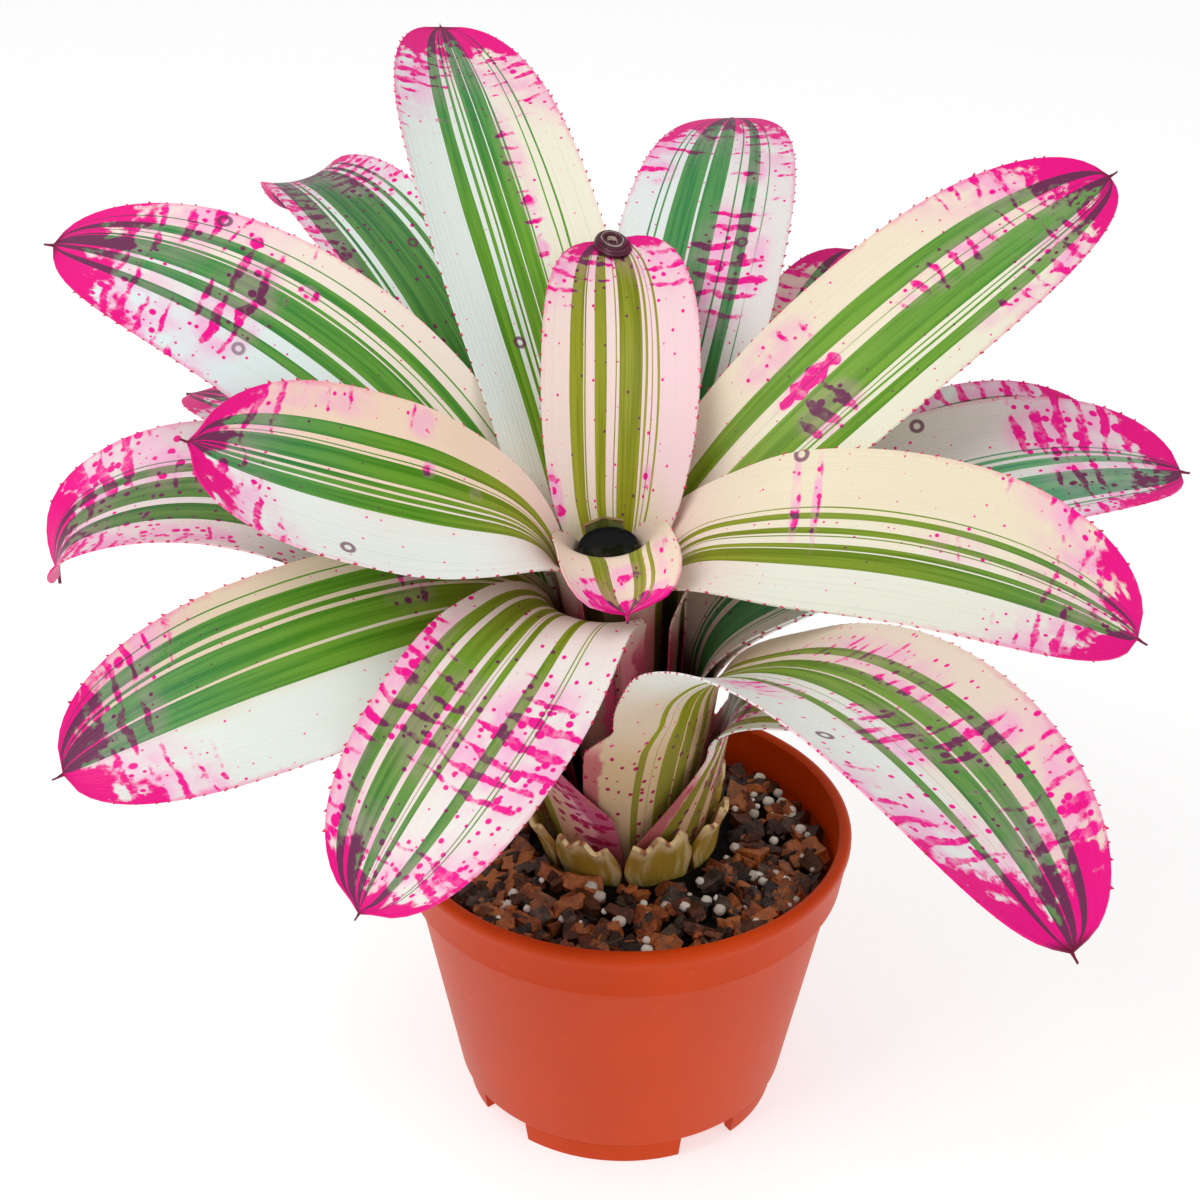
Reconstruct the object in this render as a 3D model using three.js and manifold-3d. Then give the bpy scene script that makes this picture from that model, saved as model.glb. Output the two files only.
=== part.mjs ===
// A striped neoregelia in its nursery pot, in millimetres, +Z up.
// The origin is on the pot's axis, at the height of the surface that the pot stands on.
import * as THREE from "three";
import { mergeVertices } from "three/addons/utils/BufferGeometryUtils.js";
import Module from "manifold-3d";

const wasm = await Module();
wasm.setup();

const { lerp, degToRad, clamp, smoothstep } = THREE.MathUtils;

// Gap that touching pieces keep
const CLEAR = 0.3;

// Pot: a 14 cm nursery pot with a collar and a ring of four feet
const POT_HEIGHT = 95.4;
const RIM_RADIUS = 70;
const MOUTH_RADIUS = 66;
const COLLAR_BOTTOM = 78.4;
const WALL = 1.9;
const WALL_TOP_RADIUS = 65.2;
const WALL_BOTTOM_RADIUS = 52;
const FOOT_HEIGHT = 9;
const FOOT_RADIUS = 49.3;
const FOOT_WIDTH = 3.6;
const FLOOR_TOP = 11;
const FLOOR_THICK = 2;
const NOTCH_WIDTH = 20;
const NOTCH_ANGLES = [-137, -56, 37, 126];
const DRAIN_RADIUS = 4;
const DRAIN_CIRCLE = 30;
const DRAIN_COUNT = 6;
const POT_SIDES = 54;

// Potting mix: a low mound with bark chips sunk in it
const MIX_HEIGHT = 82;
const MIX_MOUND = 4;
const MIX_SIDES = 36;
const CHIP_COUNT = 34;
const CHIP_INNER = 34;
const CHIP_OUTER = 55;
const CHIP_SEED = 11;

// The plant stands on the mix and leans a little to the front and to the left
const SOIL_POINT = new THREE.Vector3(1.5, 9, 86);
const TILT = 10;
const LEAN = 4;

// Sheaths stand in rings round the plant's axis, one outside the other, on the cone of the short stem
const RINGS = 11;
const CORE_RADIUS = 5.4;
const RING_PITCH = 1.75;
const STEM_STEP = 2.2;
const SEAT_DROP = 1.5;
const CORE_SLOPE = 0.05;
const OUTER_SLOPE = 0.18;
const ROOT_DEPTH = 32;
const STEM_SIDES = 20;

// Leaf section, tip and marginal spines
const SHEATH_THICK = 0.8;
const EDGE_THICK = 0.6;
const RIB_THICK = 1;
const WIDEST_AT = 0.5;
const TIP_ROUND = 2.6;
const MUCRO = 3.5;
const SPINE_LENGTH = 1.3;
const SPINE_BASE = 2;
const NARROW_COLUMNS = [-1, -0.5, 0, 0.5, 1];
const WIDE_COLUMNS = [-1, -0.68, -0.35, 0, 0.35, 0.68, 1];
const ROUND_COLUMNS = [-1, -0.75, -0.5, -0.25, 0, 0.25, 0.5, 0.75, 1];
const WIDE_SHEATH = 16;
const ROUND_WRAP = 100;
const SHORT_BLADE = 10;

// Each leaf, from the centre out: first where it stands and how large it is, then how it bends.
// Angles are in degrees, 0 to the right and 90 to the back, seen from above.
// ring: which ring its sheath stands in. az: the direction it grows in.
// wrap: half the arc that the sheath may cover. skew, spread: how far its foot is turned, and how wide it is.
// peel: height above the mix where the blade leaves the sheath. length, width: of the blade. neck: its foot's width.
// rise, fall: slope of the blade at its foot and at its tip. bend: over 1 where it droops late.
// sweep: sideways turn along the blade. roll: turn about its own length. hook: further turn down of the tip.
// flat: how far the blade opens out of its sheath's curve. channel: depth of its trough.
const LEAVES = {
  leaf_cup_back: {
    ...{ ring: 0, az: 98, wrap: 34, peel: 110, length: 4, width: 42 },
    ...{ rise: 80, fall: 80, flat: 0 },
  },
  leaf_cup_front: {
    ...{ ring: 0, az: 279, wrap: 140, neck: 1.3, peel: 117, length: 25, width: 35 },
    ...{ rise: -30, fall: -55, roll: -10, flat: 0.9, channel: 0.42 },
  },
  leaf_upright: {
    ...{ ring: 1, az: 80, peel: 98, length: 108, width: 46 },
    ...{ rise: 60, fall: -10, bend: 1.75, sweep: 20 },
  },
  leaf_left_upper: {
    ...{ ring: 2, az: 192, wrap: 45, peel: 112, length: 108, width: 62 },
    ...{ rise: 25, fall: 25, sweep: -14, roll: -15 },
  },
  leaf_right_upper: {
    ...{ ring: 2, az: 348, peel: 104, length: 142, width: 56 },
    ...{ rise: 15, fall: -34, sweep: -4, roll: 18 },
  },
  leaf_back_left_tall: {
    ...{ ring: 3, az: 106, peel: 100, length: 211, width: 55 },
    ...{ rise: 40, fall: 0, bend: 1.1, sweep: -3, roll: 10 },
  },
  leaf_front_left: {
    ...{ ring: 3, az: 242, peel: 98, length: 114, width: 55 },
    ...{ rise: 5, fall: -35, bend: 0.8, sweep: -15, roll: -15 },
  },
  leaf_back_right_tall: {
    ...{ ring: 4, az: 28, peel: 98, length: 173, width: 52 },
    ...{ rise: 35, fall: 10, bend: 1.5, sweep: 4, roll: 18 },
  },
  leaf_left_lower: {
    ...{ ring: 4, az: 208, peel: 92, length: 147, width: 58 },
    ...{ rise: 9, fall: -14, sweep: -5, roll: -26 },
  },
  leaf_back: {
    ...{ ring: 5, az: 71, peel: 86, length: 190, width: 53 },
    ...{ rise: 48, fall: -20, sweep: 15, channel: 0.03 },
  },
  leaf_left_high: {
    ...{ ring: 6, az: 157, peel: 73, length: 192, width: 58 },
    ...{ rise: 66, fall: 2, sweep: 11, roll: -18, channel: 0.03 },
  },
  leaf_right_far: {
    ...{ ring: 7, az: 13, wrap: 50, peel: 69, length: 162, width: 52 },
    ...{ rise: 38, fall: -23, bend: 1.2, roll: 13 },
  },
  leaf_back_left_hooked: {
    ...{ ring: 7, az: 125, wrap: 54, peel: 67, length: 218, width: 42 },
    ...{ rise: 60, fall: -40, bend: 1.6, sweep: -6, hook: -30 },
  },
  leaf_right_sliver: {
    ...{ ring: 8, az: 21, wrap: 40, peel: 68, length: 152, width: 56 },
    ...{ rise: 28, fall: -22, sweep: 10, roll: 14 },
  },
  leaf_front_right: {
    ...{ ring: 9, az: 305, wrap: 50, skew: -15, neck: 0.65, peel: 69, length: 204, width: 62 },
    ...{ rise: 52, fall: -20, bend: 1.2, sweep: -13, roll: -10 },
  },
  leaf_back_right_short: {
    ...{ ring: 9, az: 51, wrap: 44, peel: 48, length: 162, width: 47 },
    ...{ rise: 44, fall: -6, bend: 1.75, sweep: 26 },
  },
  leaf_left_far: {
    ...{ ring: 10, az: 172, wrap: 75, skew: 20, spread: 1.5, peel: 61, length: 168, width: 54 },
    ...{ rise: 54, fall: -48, bend: 1.8, sweep: 15, roll: -5, hook: -35, channel: 0.15 },
  },
  leaf_right_low: {
    ...{ ring: 11, az: 345, wrap: 68, skew: -10, spread: 1.6, peel: 48, length: 45, width: 40 },
    ...{ rise: 70, fall: -45, bend: 1 },
  },
  leaf_back_low: {
    ...{ ring: 11, az: 88, wrap: 27, peel: 46, length: 181, width: 56 },
    ...{ rise: 38, fall: -40 },
  },
  leaf_left_hidden: {
    ...{ ring: 11, az: 146, wrap: 28, peel: 55, length: 150, width: 42 },
    ...{ rise: 46, fall: -18, bend: 1.5, sweep: -4, roll: 12, channel: 0.03 },
  },
};
const LEAF_DEFAULTS = {
  fall: 0,
  bend: 1.4,
  sweep: 0,
  roll: 0,
  hook: 0,
  wrap: 60,
  skew: 0,
  spread: 1.25,
  flat: 1,
  neck: 0.7,
  channel: 0.12,
};

// Stumps of old leaves that were cut off, round the foot of the plant
const STUMPS = {
  stump_front_left: { az: 244, height: 23, width: 21 },
  stump_front_right: { az: 290, height: 24, width: 21 },
  stump_right: { az: 333, height: 20, width: 19 },
  stump_left: { az: 200, height: 21, width: 19 },
  stump_back_left: { az: 150, height: 17, width: 20 },
  stump_back: { az: 95, height: 18, width: 22 },
  stump_back_right: { az: 30, height: 17, width: 20 },
};
const STUMP_RADIUS = 26.9;
const STUMP_THICK = 2.6;
const STUMP_FLARE = 6;
const STUMP_SUNK = 1;

const COLOURS = {
  pot: [0xc8552d, 0.42],
  mix: [0x5d4030, 0.95],
  stem: [0x8a7a45, 0.8],
  water: [0x10201c, 0.05],
  leaf: [0xd9d6b4, 0.4],
  stump: [0xb3a25a, 0.6],
};

// Repeatable draws from 0 to 1
function makeDraw(seed) {
  let state = seed;
  return () => {
    state = (state * 1664525 + 1013904223) % 4294967296;
    return state / 4294967296;
  };
}

function material(name) {
  const [color, roughness] = COLOURS[name];
  return new THREE.MeshStandardMaterial({ color, roughness, metalness: 0 });
}

function mesh(name, geometry, finish) {
  const made = new THREE.Mesh(geometry, material(finish));
  made.name = name;
  return made;
}

// Solid for a closed geometry, and back
function toSolid(geometry) {
  const bare = new THREE.BufferGeometry();
  const source = geometry.index ? geometry.toNonIndexed() : geometry;
  bare.setAttribute("position", source.getAttribute("position"));
  const merged = mergeVertices(bare, 1e-4);
  return new wasm.Manifold(
    new wasm.Mesh({
      numProp: 3,
      vertProperties: merged.attributes.position.array,
      triVerts: new Uint32Array(merged.index.array),
    }),
  );
}

function toGeometry(solid) {
  const { vertProperties, triVerts } = solid.getMesh();
  const geometry = new THREE.BufferGeometry();
  geometry.setAttribute("position", new THREE.BufferAttribute(vertProperties, 3));
  geometry.setIndex(new THREE.BufferAttribute(triVerts, 1));
  return geometry;
}

// Profile points are [radius, height], listed from the bottom up along the outside. The axis is made +Z.
function lathe(profile, sides) {
  const points = profile.map(([radius, height]) => new THREE.Vector2(radius, height));
  return new THREE.LatheGeometry(points, sides).rotateX(Math.PI / 2);
}

// Closed surface from shared vertices
class Shell {
  constructor() {
    this.vertices = [];
    this.faces = [];
  }

  point(vector) {
    this.vertices.push(vector.x, vector.y, vector.z);
    return this.vertices.length / 3 - 1;
  }

  place(index) {
    return new THREE.Vector3().fromArray(this.vertices, index * 3);
  }

  face(...corners) {
    for (let k = 2; k < corners.length; k++) this.faces.push(corners[0], corners[k - 1], corners[k]);
  }

  geometry() {
    const made = new THREE.BufferGeometry();
    made.setAttribute("position", new THREE.Float32BufferAttribute(this.vertices, 3));
    made.setIndex(this.faces);
    return made;
  }
}

function polar(radius, degrees, height) {
  const turn = degToRad(degrees);
  return new THREE.Vector3(radius * Math.cos(turn), radius * Math.sin(turn), height);
}

// Pot

function potGeometry() {
  const floorRadius = WALL_BOTTOM_RADIUS - WALL + 0.2;
  const shell = toSolid(
    lathe(
      [
        [0, FLOOR_TOP - FLOOR_THICK],
        [FOOT_RADIUS - FOOT_WIDTH, FLOOR_TOP - FLOOR_THICK],
        [FOOT_RADIUS - FOOT_WIDTH, 0],
        [FOOT_RADIUS - 0.7, 0],
        [FOOT_RADIUS, 0.7],
        [WALL_BOTTOM_RADIUS - 1.2, FOOT_HEIGHT - 0.4],
        [WALL_BOTTOM_RADIUS, FOOT_HEIGHT + 0.4],
        [WALL_TOP_RADIUS, COLLAR_BOTTOM - 0.4],
        [RIM_RADIUS - 2.4, COLLAR_BOTTOM + 0.8],
        [RIM_RADIUS - 0.6, POT_HEIGHT - 4.4],
        [RIM_RADIUS, POT_HEIGHT - 2],
        [RIM_RADIUS - 0.8, POT_HEIGHT - 0.5],
        [RIM_RADIUS - 2.4, POT_HEIGHT],
        [MOUTH_RADIUS + 0.2, POT_HEIGHT - 0.8],
        [MOUTH_RADIUS, POT_HEIGHT - 2.4],
        [WALL_TOP_RADIUS - 0.2, COLLAR_BOTTOM + 1.6],
        [WALL_TOP_RADIUS - WALL, COLLAR_BOTTOM - 0.4],
        [floorRadius, FLOOR_TOP],
        [0, FLOOR_TOP],
      ],
      POT_SIDES,
    ),
  );
  const cuts = NOTCH_ANGLES.map((angle) => {
    const notch = new THREE.BoxGeometry(FOOT_WIDTH + 8, NOTCH_WIDTH, 2 * FOOT_HEIGHT - 1);
    notch.translate(FOOT_RADIUS - FOOT_WIDTH / 2, 0, 0);
    return notch.rotateZ(degToRad(angle));
  });
  for (let k = 0; k < DRAIN_COUNT; k++) {
    const drain = new THREE.CylinderGeometry(DRAIN_RADIUS, DRAIN_RADIUS, FLOOR_TOP + 6, 10);
    const spot = polar(DRAIN_CIRCLE, (k * 360) / DRAIN_COUNT, FLOOR_TOP / 2 + 1);
    cuts.push(drain.rotateX(Math.PI / 2).translate(spot.x, spot.y, spot.z));
  }
  return toGeometry(cuts.reduce((pot, cut) => pot.subtract(toSolid(cut)), shell));
}

// Potting mix

function insideRadius(height) {
  const share = (height - FLOOR_TOP) / (COLLAR_BOTTOM - FLOOR_TOP);
  return lerp(WALL_BOTTOM_RADIUS - WALL + 0.2, WALL_TOP_RADIUS - WALL, share);
}

function mixHeight(radius) {
  return MIX_HEIGHT + MIX_MOUND * (1 - smoothstep(radius, 18, 58));
}

function mixBody(draw) {
  const shell = new Shell();
  const floor = FLOOR_TOP + CLEAR;
  const rings = [[insideRadius(floor) - CLEAR - 0.2, floor]];
  const edge = insideRadius(MIX_HEIGHT - 4) - CLEAR - 0.3;
  rings.push([edge, MIX_HEIGHT - 4]);
  for (const radius of [edge - 1.5, 53, 44, 35, 26]) rings.push([radius, null]);
  const loops = rings.map(([radius, height]) =>
    Array.from({ length: MIX_SIDES }, (_, k) => {
      const level = height ?? mixHeight(radius) + 2.4 * (draw() - 0.5);
      return shell.point(polar(radius, (k * 360) / MIX_SIDES, level));
    }),
  );
  const bottom = shell.point(new THREE.Vector3(0, 0, floor));
  const top = shell.point(new THREE.Vector3(0, 0, MIX_HEIGHT + MIX_MOUND));
  for (let k = 0; k < MIX_SIDES; k++) {
    const next = (k + 1) % MIX_SIDES;
    shell.face(bottom, loops[0][next], loops[0][k]);
    for (let r = 1; r < loops.length; r++)
      shell.face(loops[r - 1][k], loops[r - 1][next], loops[r][next], loops[r][k]);
    shell.face(loops.at(-1)[k], loops.at(-1)[next], top);
  }
  return toSolid(shell.geometry());
}

// One bark chip: a flat, skewed block with its root sunk in the mix
function chip(draw, number) {
  const long = 7 + 7 * draw();
  const box = new THREE.BoxGeometry(long, 3.5 + 3.5 * draw(), 2.6 + 2 * draw());
  const spot = box.attributes.position;
  const skew = 0.25 * (draw() - 0.5);
  for (let k = 0; k < spot.count; k++) {
    const taper = 1 - 0.35 * (spot.getX(k) / long + 0.5);
    spot.setXYZ(k, spot.getX(k) + skew * spot.getY(k) * 4, spot.getY(k) * taper, spot.getZ(k));
  }
  box.rotateX(degToRad(50 * (draw() - 0.5)));
  box.rotateY(degToRad(34 * (draw() - 0.5)));
  box.rotateZ(degToRad(360 * draw()));
  const golden = 137.508;
  const radius = Math.sqrt(lerp(CHIP_INNER ** 2, CHIP_OUTER ** 2, (number + 0.5) / CHIP_COUNT));
  const place = polar(radius, number * golden, mixHeight(radius) + 0.4 * draw());
  return toSolid(box.translate(place.x, place.y, place.z));
}

function mixGeometry(stemClearance) {
  const draw = makeDraw(CHIP_SEED);
  const body = mixBody(draw);
  const chips = Array.from({ length: CHIP_COUNT }, (_, k) => chip(draw, k));
  const heaped = chips.reduce((mix, one) => mix.add(one), body);
  return toGeometry(heaped.subtract(stemClearance));
}

// Stem

function ringRadius(ring) {
  return CORE_RADIUS + RING_PITCH * ring;
}

function seatHeight(ring) {
  return STEM_STEP * (RINGS - ring);
}

function ringSlope(ring) {
  return lerp(CORE_SLOPE, OUTER_SLOPE, ring / RINGS);
}

// Buried part of the stem, up to the ledge that the stumps stand on
function rootProfile(extra) {
  const ledge = STUMP_RADIUS + STUMP_THICK / 2 + extra;
  return [
    [0, -ROOT_DEPTH - extra],
    [9 + extra, -ROOT_DEPTH - extra],
    [14 + extra, -ROOT_DEPTH * 0.6],
    [20 + extra, -ROOT_DEPTH * 0.3],
    [ledge, -STUMP_SUNK - 3],
    [ledge, -STUMP_SUNK - CLEAR],
  ];
}

function stemGeometry() {
  const outer = ringRadius(RINGS) + 0.2;
  const profile = rootProfile(0);
  profile.push([outer, -STUMP_SUNK - CLEAR], [outer, seatHeight(RINGS) - SEAT_DROP]);
  profile.push([CORE_RADIUS, seatHeight(0) - SEAT_DROP], [0, seatHeight(0) - SEAT_DROP]);
  return lathe(profile, STEM_SIDES);
}

// Plain hole in the mix for the stem, widening above it for the sheaths and stumps
function stemHole(place) {
  const profile = rootProfile(CLEAR + 0.2);
  profile.push([STUMP_RADIUS + 12, 24], [0, 24]);
  return toSolid(lathe(profile, STEM_SIDES).applyMatrix4(place));
}

function waterGeometry() {
  const bottom = seatHeight(0) + CLEAR;
  const top = 112;
  const slack = 1.4;
  const widen = (height) => CORE_RADIUS + CORE_SLOPE * (height - seatHeight(0)) - slack;
  return lathe([[0, bottom], [widen(bottom), bottom], [widen(top), top], [0, top]], 14);
}

// Leaves

// Centre line of a leaf: places at even steps from the foot of the sheath to the tip
function centreLine(leaf) {
  const foot = seatHeight(leaf.ring) + CLEAR;
  const sheath = leaf.peel - foot;
  const total = sheath + leaf.length;
  const steps = 90;
  const upright = Math.atan(1 / ringSlope(leaf.ring));
  const stations = [];
  const place = polar(ringRadius(leaf.ring), leaf.az, foot);
  for (let k = 0; k <= steps; k++) {
    const s = (total * k) / steps;
    const u = Math.max(0, (s - sheath) / leaf.length);
    const curl = leaf.hook * smoothstep(u, 0.86, 1);
    const blade = degToRad(lerp(leaf.rise, leaf.fall, u ** leaf.bend) + curl);
    const pitch = lerp(upright, blade, smoothstep(s, sheath - 14, sheath + 26));
    const turn = degToRad(leaf.az + leaf.sweep * u ** 1.5);
    const flat = Math.cos(pitch);
    const along = new THREE.Vector3(flat * Math.cos(turn), flat * Math.sin(turn), Math.sin(pitch));
    const last = stations.at(-1);
    if (last) place.addScaledVector(last.along.clone().add(along), total / steps / 2);
    stations.push({ s, place: place.clone(), along, turn });
  }
  return { stations, sheath, total };
}

function stationAt(line, s) {
  const { stations, total } = line;
  const index = clamp((s / total) * (stations.length - 1), 0, stations.length - 1.001);
  const low = stations[Math.floor(index)];
  const high = stations[Math.floor(index) + 1];
  const share = index - Math.floor(index);
  return {
    place: low.place.clone().lerp(high.place, share),
    along: low.along.clone().lerp(high.along, share).normalize(),
    turn: lerp(low.turn, high.turn, share),
  };
}

function halfWidth(leaf, line, s) {
  const widest = leaf.width / 2;
  const neck = leaf.neck * widest;
  if (s < line.sheath) return neck + (leaf.spread * widest - neck) * (1 - (s / line.sheath) ** 2);
  const u = (s - line.sheath) / leaf.length;
  if (u < WIDEST_AT) return neck + (widest - neck) * Math.sin(((u / WIDEST_AT) * Math.PI) / 2);
  const past = Math.min(1, (u - WIDEST_AT) / (1 - WIDEST_AT));
  return widest * Math.sqrt(1 - past ** TIP_ROUND);
}

// Middle surface of a leaf: s runs along it, v from -1 to 1 across it.
// The sheath is wrapped round the plant's axis, and the blade opens from it into a shallow channel.
function leafPoint(leaf, line, s, v) {
  const { place, along, turn } = stationAt(line, s);
  const half = halfWidth(leaf, line, s);
  const opened = leaf.flat * smoothstep(s, line.sheath - 10, line.sheath + 40);
  const roll = degToRad(leaf.roll) * smoothstep(s, line.sheath - 10, line.sheath + 50);
  const across = new THREE.Vector3(-Math.sin(turn), Math.cos(turn), 0);
  const inward = along.clone().cross(across);
  const rolledAcross = across.clone().multiplyScalar(Math.cos(roll)).addScaledVector(inward, Math.sin(roll));
  const rolledInward = inward.clone().multiplyScalar(Math.cos(roll)).addScaledVector(across, -Math.sin(roll));
  const blade = place.clone().addScaledVector(rolledAcross, v * half);
  blade.addScaledVector(rolledInward, 2 * leaf.channel * v * v * half);
  const radius = Math.hypot(place.x, place.y);
  const twist = degToRad(leaf.skew) * (1 - Math.min(1, s / line.sheath) ** 2);
  const angle = Math.atan2(place.y, place.x) + twist + v * Math.min(half / radius, degToRad(leaf.wrap));
  const wrapped = new THREE.Vector3(radius * Math.cos(angle), radius * Math.sin(angle), place.z);
  return wrapped.lerp(blade, opened);
}

function leafNormal(leaf, line, s, v) {
  const step = 0.4;
  const part = 0.02;
  const along = leafPoint(leaf, line, s + step, v).sub(leafPoint(leaf, line, s - step, v));
  const across = leafPoint(leaf, line, s, v + part).sub(leafPoint(leaf, line, s, v - part));
  return along.cross(across).normalize();
}

// True where a sheath reaches so far round the plant that it needs more columns and rows to stay round
function isWide(leaf) {
  return leaf.wrap > ROUND_WRAP || ringRadius(leaf.ring) * degToRad(leaf.wrap) > WIDE_SHEATH;
}

function leafColumns(leaf) {
  if (leaf.wrap > ROUND_WRAP) return ROUND_COLUMNS;
  return isWide(leaf) ? WIDE_COLUMNS : NARROW_COLUMNS;
}

// Rows of a leaf: close together where the blade bends out of the sheath, and at the tip
function leafRows(leaf, line) {
  const bendStart = line.sheath - 14;
  const open = Math.min(20, leaf.length * 0.5);
  const lower = isWide(leaf) ? [0, bendStart * 0.35, bendStart * 0.7] : [0];
  const rows = [...lower, bendStart, line.sheath - 5, line.sheath + 0.15 * open];
  rows.push(line.sheath + 0.55 * open, line.sheath + open);
  const count = leaf.length < 60 ? 2 : 7;
  for (let k = 1; k <= count; k++) rows.push(line.sheath + lerp(open, 0.93 * leaf.length, k / count));
  rows.push(line.sheath + 0.975 * leaf.length, line.sheath + 0.998 * leaf.length);
  return rows;
}

// One piece of margin between two rows, with a spine in its middle. It returns the two added points of each face.
function spinedEdge(shell, upper, lower, outward, flip) {
  const [a, b] = upper.map((index) => shell.place(index));
  const [c, d] = lower.map((index) => shell.place(index));
  const reach = SPINE_BASE / 2 / a.distanceTo(b);
  const up = [0.5 - reach, 0.5 + reach].map((share) => shell.point(a.clone().lerp(b, share)));
  const low = [0.5 - reach, 0.5 + reach].map((share) => shell.point(c.clone().lerp(d, share)));
  const root = a.clone().add(b).add(c).add(d).multiplyScalar(0.25);
  const forward = b.clone().sub(a).normalize();
  const tip = shell.point(root.addScaledVector(outward, SPINE_LENGTH).addScaledVector(forward, 0.7));
  const put = (...corners) => shell.face(...(flip ? corners.reverse() : corners));
  put(upper[0], lower[0], low[0], up[0]);
  put(up[1], low[1], lower[1], upper[1]);
  put(up[0], low[0], tip);
  put(low[0], low[1], tip);
  put(low[1], up[1], tip);
  put(up[1], up[0], tip);
  return [up, low];
}

function leafGeometry(leaf) {
  const line = centreLine(leaf);
  const rows = leafRows(leaf, line);
  const shell = new Shell();
  const across = leafColumns(leaf);
  const last = across.length - 1;
  const short = leaf.length < SHORT_BLADE;
  const upper = [];
  const lower = [];
  for (const s of rows) {
    const ribbed = smoothstep(s, line.sheath, line.sheath + 30);
    const made = across.map((v) => {
      const middle = leafPoint(leaf, line, s, v);
      const normal = leafNormal(leaf, line, s, v);
      const blade = lerp(RIB_THICK, EDGE_THICK, v * v);
      const half = lerp(SHEATH_THICK, blade, ribbed) / 2;
      return [1, -1].map((side) => shell.point(middle.clone().addScaledVector(normal, side * half)));
    });
    upper.push(made.map((pair) => pair[0]));
    lower.push(made.map((pair) => pair[1]));
  }
  const spined = (r) => !short && rows[r] > line.sheath && r < rows.length - 2;
  for (let r = 0; r + 1 < rows.length; r++) {
    for (const side of [0, last]) {
      const flip = side === last;
      const beside = flip ? last - 1 : 1;
      const put = (...corners) => shell.face(...(flip ? corners.reverse() : corners));
      const [a, b, c, d] = [upper[r][side], upper[r + 1][side], lower[r][side], lower[r + 1][side]];
      const [e, f, g, h] = [upper[r][beside], upper[r + 1][beside], lower[r][beside], lower[r + 1][beside]];
      if (spined(r)) {
        const outward = shell.place(a).sub(shell.place(e)).normalize();
        const [up, low] = spinedEdge(shell, [a, b], [c, d], outward, flip);
        put(e, a, up[0], up[1], b, f);
        put(h, d, low[1], low[0], c, g);
        continue;
      }
      put(a, c, d, b);
      put(e, a, b, f);
      put(h, d, c, g);
    }
    for (let col = 1; col < last - 1; col++) {
      shell.face(upper[r][col], upper[r + 1][col], upper[r + 1][col + 1], upper[r][col + 1]);
      shell.face(lower[r][col], lower[r][col + 1], lower[r + 1][col + 1], lower[r + 1][col]);
    }
  }
  const end = stationAt(line, line.total);
  const tip = shell.point(end.place.addScaledVector(end.along, short ? CLEAR : MUCRO));
  const top = upper.at(-1);
  const under = lower.at(-1);
  for (let col = 0; col < last; col++) {
    shell.face(upper[0][col], upper[0][col + 1], lower[0][col + 1], lower[0][col]);
    shell.face(top[col], tip, top[col + 1]);
    shell.face(under[col], under[col + 1], tip);
  }
  shell.face(top[0], under[0], tip);
  shell.face(top[last], tip, under[last]);
  return shell.geometry();
}

// Stumps

// A short cupped scale: thick at its foot, flared out and cut off a little ragged at its top
function stumpGeometry(stump) {
  const shell = new Shell();
  const heights = [0, 0.35, 0.7, 1];
  const columns = [-1, -0.5, 0, 0.5, 1];
  const faces = [1, -1].map((side) =>
    heights.map((share) =>
      columns.map((v) => {
        const narrow = share < 0.4 ? lerp(0.8, 1, share / 0.4) : lerp(1, 0.72, (share - 0.4) / 0.6);
        const thick = lerp(STUMP_THICK, 1.3, share);
        const flare = STUMP_FLARE * share ** 1.3;
        const radius = STUMP_RADIUS + flare * (1 - 0.2 * v * v) - side * (thick / 2) - 0.3 * (v * v);
        const angle = stump.az + (v * narrow * stump.width * 180) / Math.PI / 2 / STUMP_RADIUS;
        const ragged = share === 1 ? 1.6 * Math.cos(7 * v + stump.az) - 3 * v * v : 0;
        return shell.point(polar(radius, angle, stump.height * share + ragged - STUMP_SUNK));
      }),
    ),
  );
  const [inner, outer] = faces;
  const rows = heights.length - 1;
  const last = columns.length - 1;
  for (let r = 0; r < rows; r++) {
    for (let c = 0; c < last; c++) {
      shell.face(inner[r][c], inner[r + 1][c], inner[r + 1][c + 1], inner[r][c + 1]);
      shell.face(outer[r][c], outer[r][c + 1], outer[r + 1][c + 1], outer[r + 1][c]);
    }
    shell.face(inner[r][0], outer[r][0], outer[r + 1][0], inner[r + 1][0]);
    shell.face(inner[r][last], inner[r + 1][last], outer[r + 1][last], outer[r][last]);
  }
  for (let c = 0; c < last; c++) {
    shell.face(inner[0][c], inner[0][c + 1], outer[0][c + 1], outer[0][c]);
    shell.face(inner[rows][c], outer[rows][c], outer[rows][c + 1], inner[rows][c + 1]);
  }
  return shell.geometry();
}

// The plant, in a group of its own that leans on the pot's axis
const plant = new THREE.Group();
plant.position.copy(SOIL_POINT);
plant.rotation.order = "YXZ";
plant.rotation.set(degToRad(TILT), degToRad(-LEAN), 0);
plant.updateMatrix();
plant.add(mesh("stem", stemGeometry(), "stem"));
plant.add(mesh("tank_water", waterGeometry(), "water"));
for (const [name, sizes] of Object.entries(LEAVES))
  plant.add(mesh(name, leafGeometry({ ...LEAF_DEFAULTS, ...sizes }), "leaf"));
for (const [name, sizes] of Object.entries(STUMPS)) plant.add(mesh(name, stumpGeometry(sizes), "stump"));

const group = new THREE.Group();
group.add(mesh("pot", potGeometry(), "pot"));
group.add(mesh("potting_mix", mixGeometry(stemHole(plant.matrix)), "mix"));
group.add(plant);

export default group;
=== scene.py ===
"""Looks of a striped neoregelia in its nursery pot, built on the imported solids.

All sizes in this file are in millimetres and degrees until a mesh is made, which is in metres.
"""

import logging
import math
import random
from collections.abc import Iterator, Sequence
from contextlib import contextmanager
from dataclasses import dataclass, field
from enum import Enum

import bpy
import numpy as np
from mathutils import Matrix, Vector, noise


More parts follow.
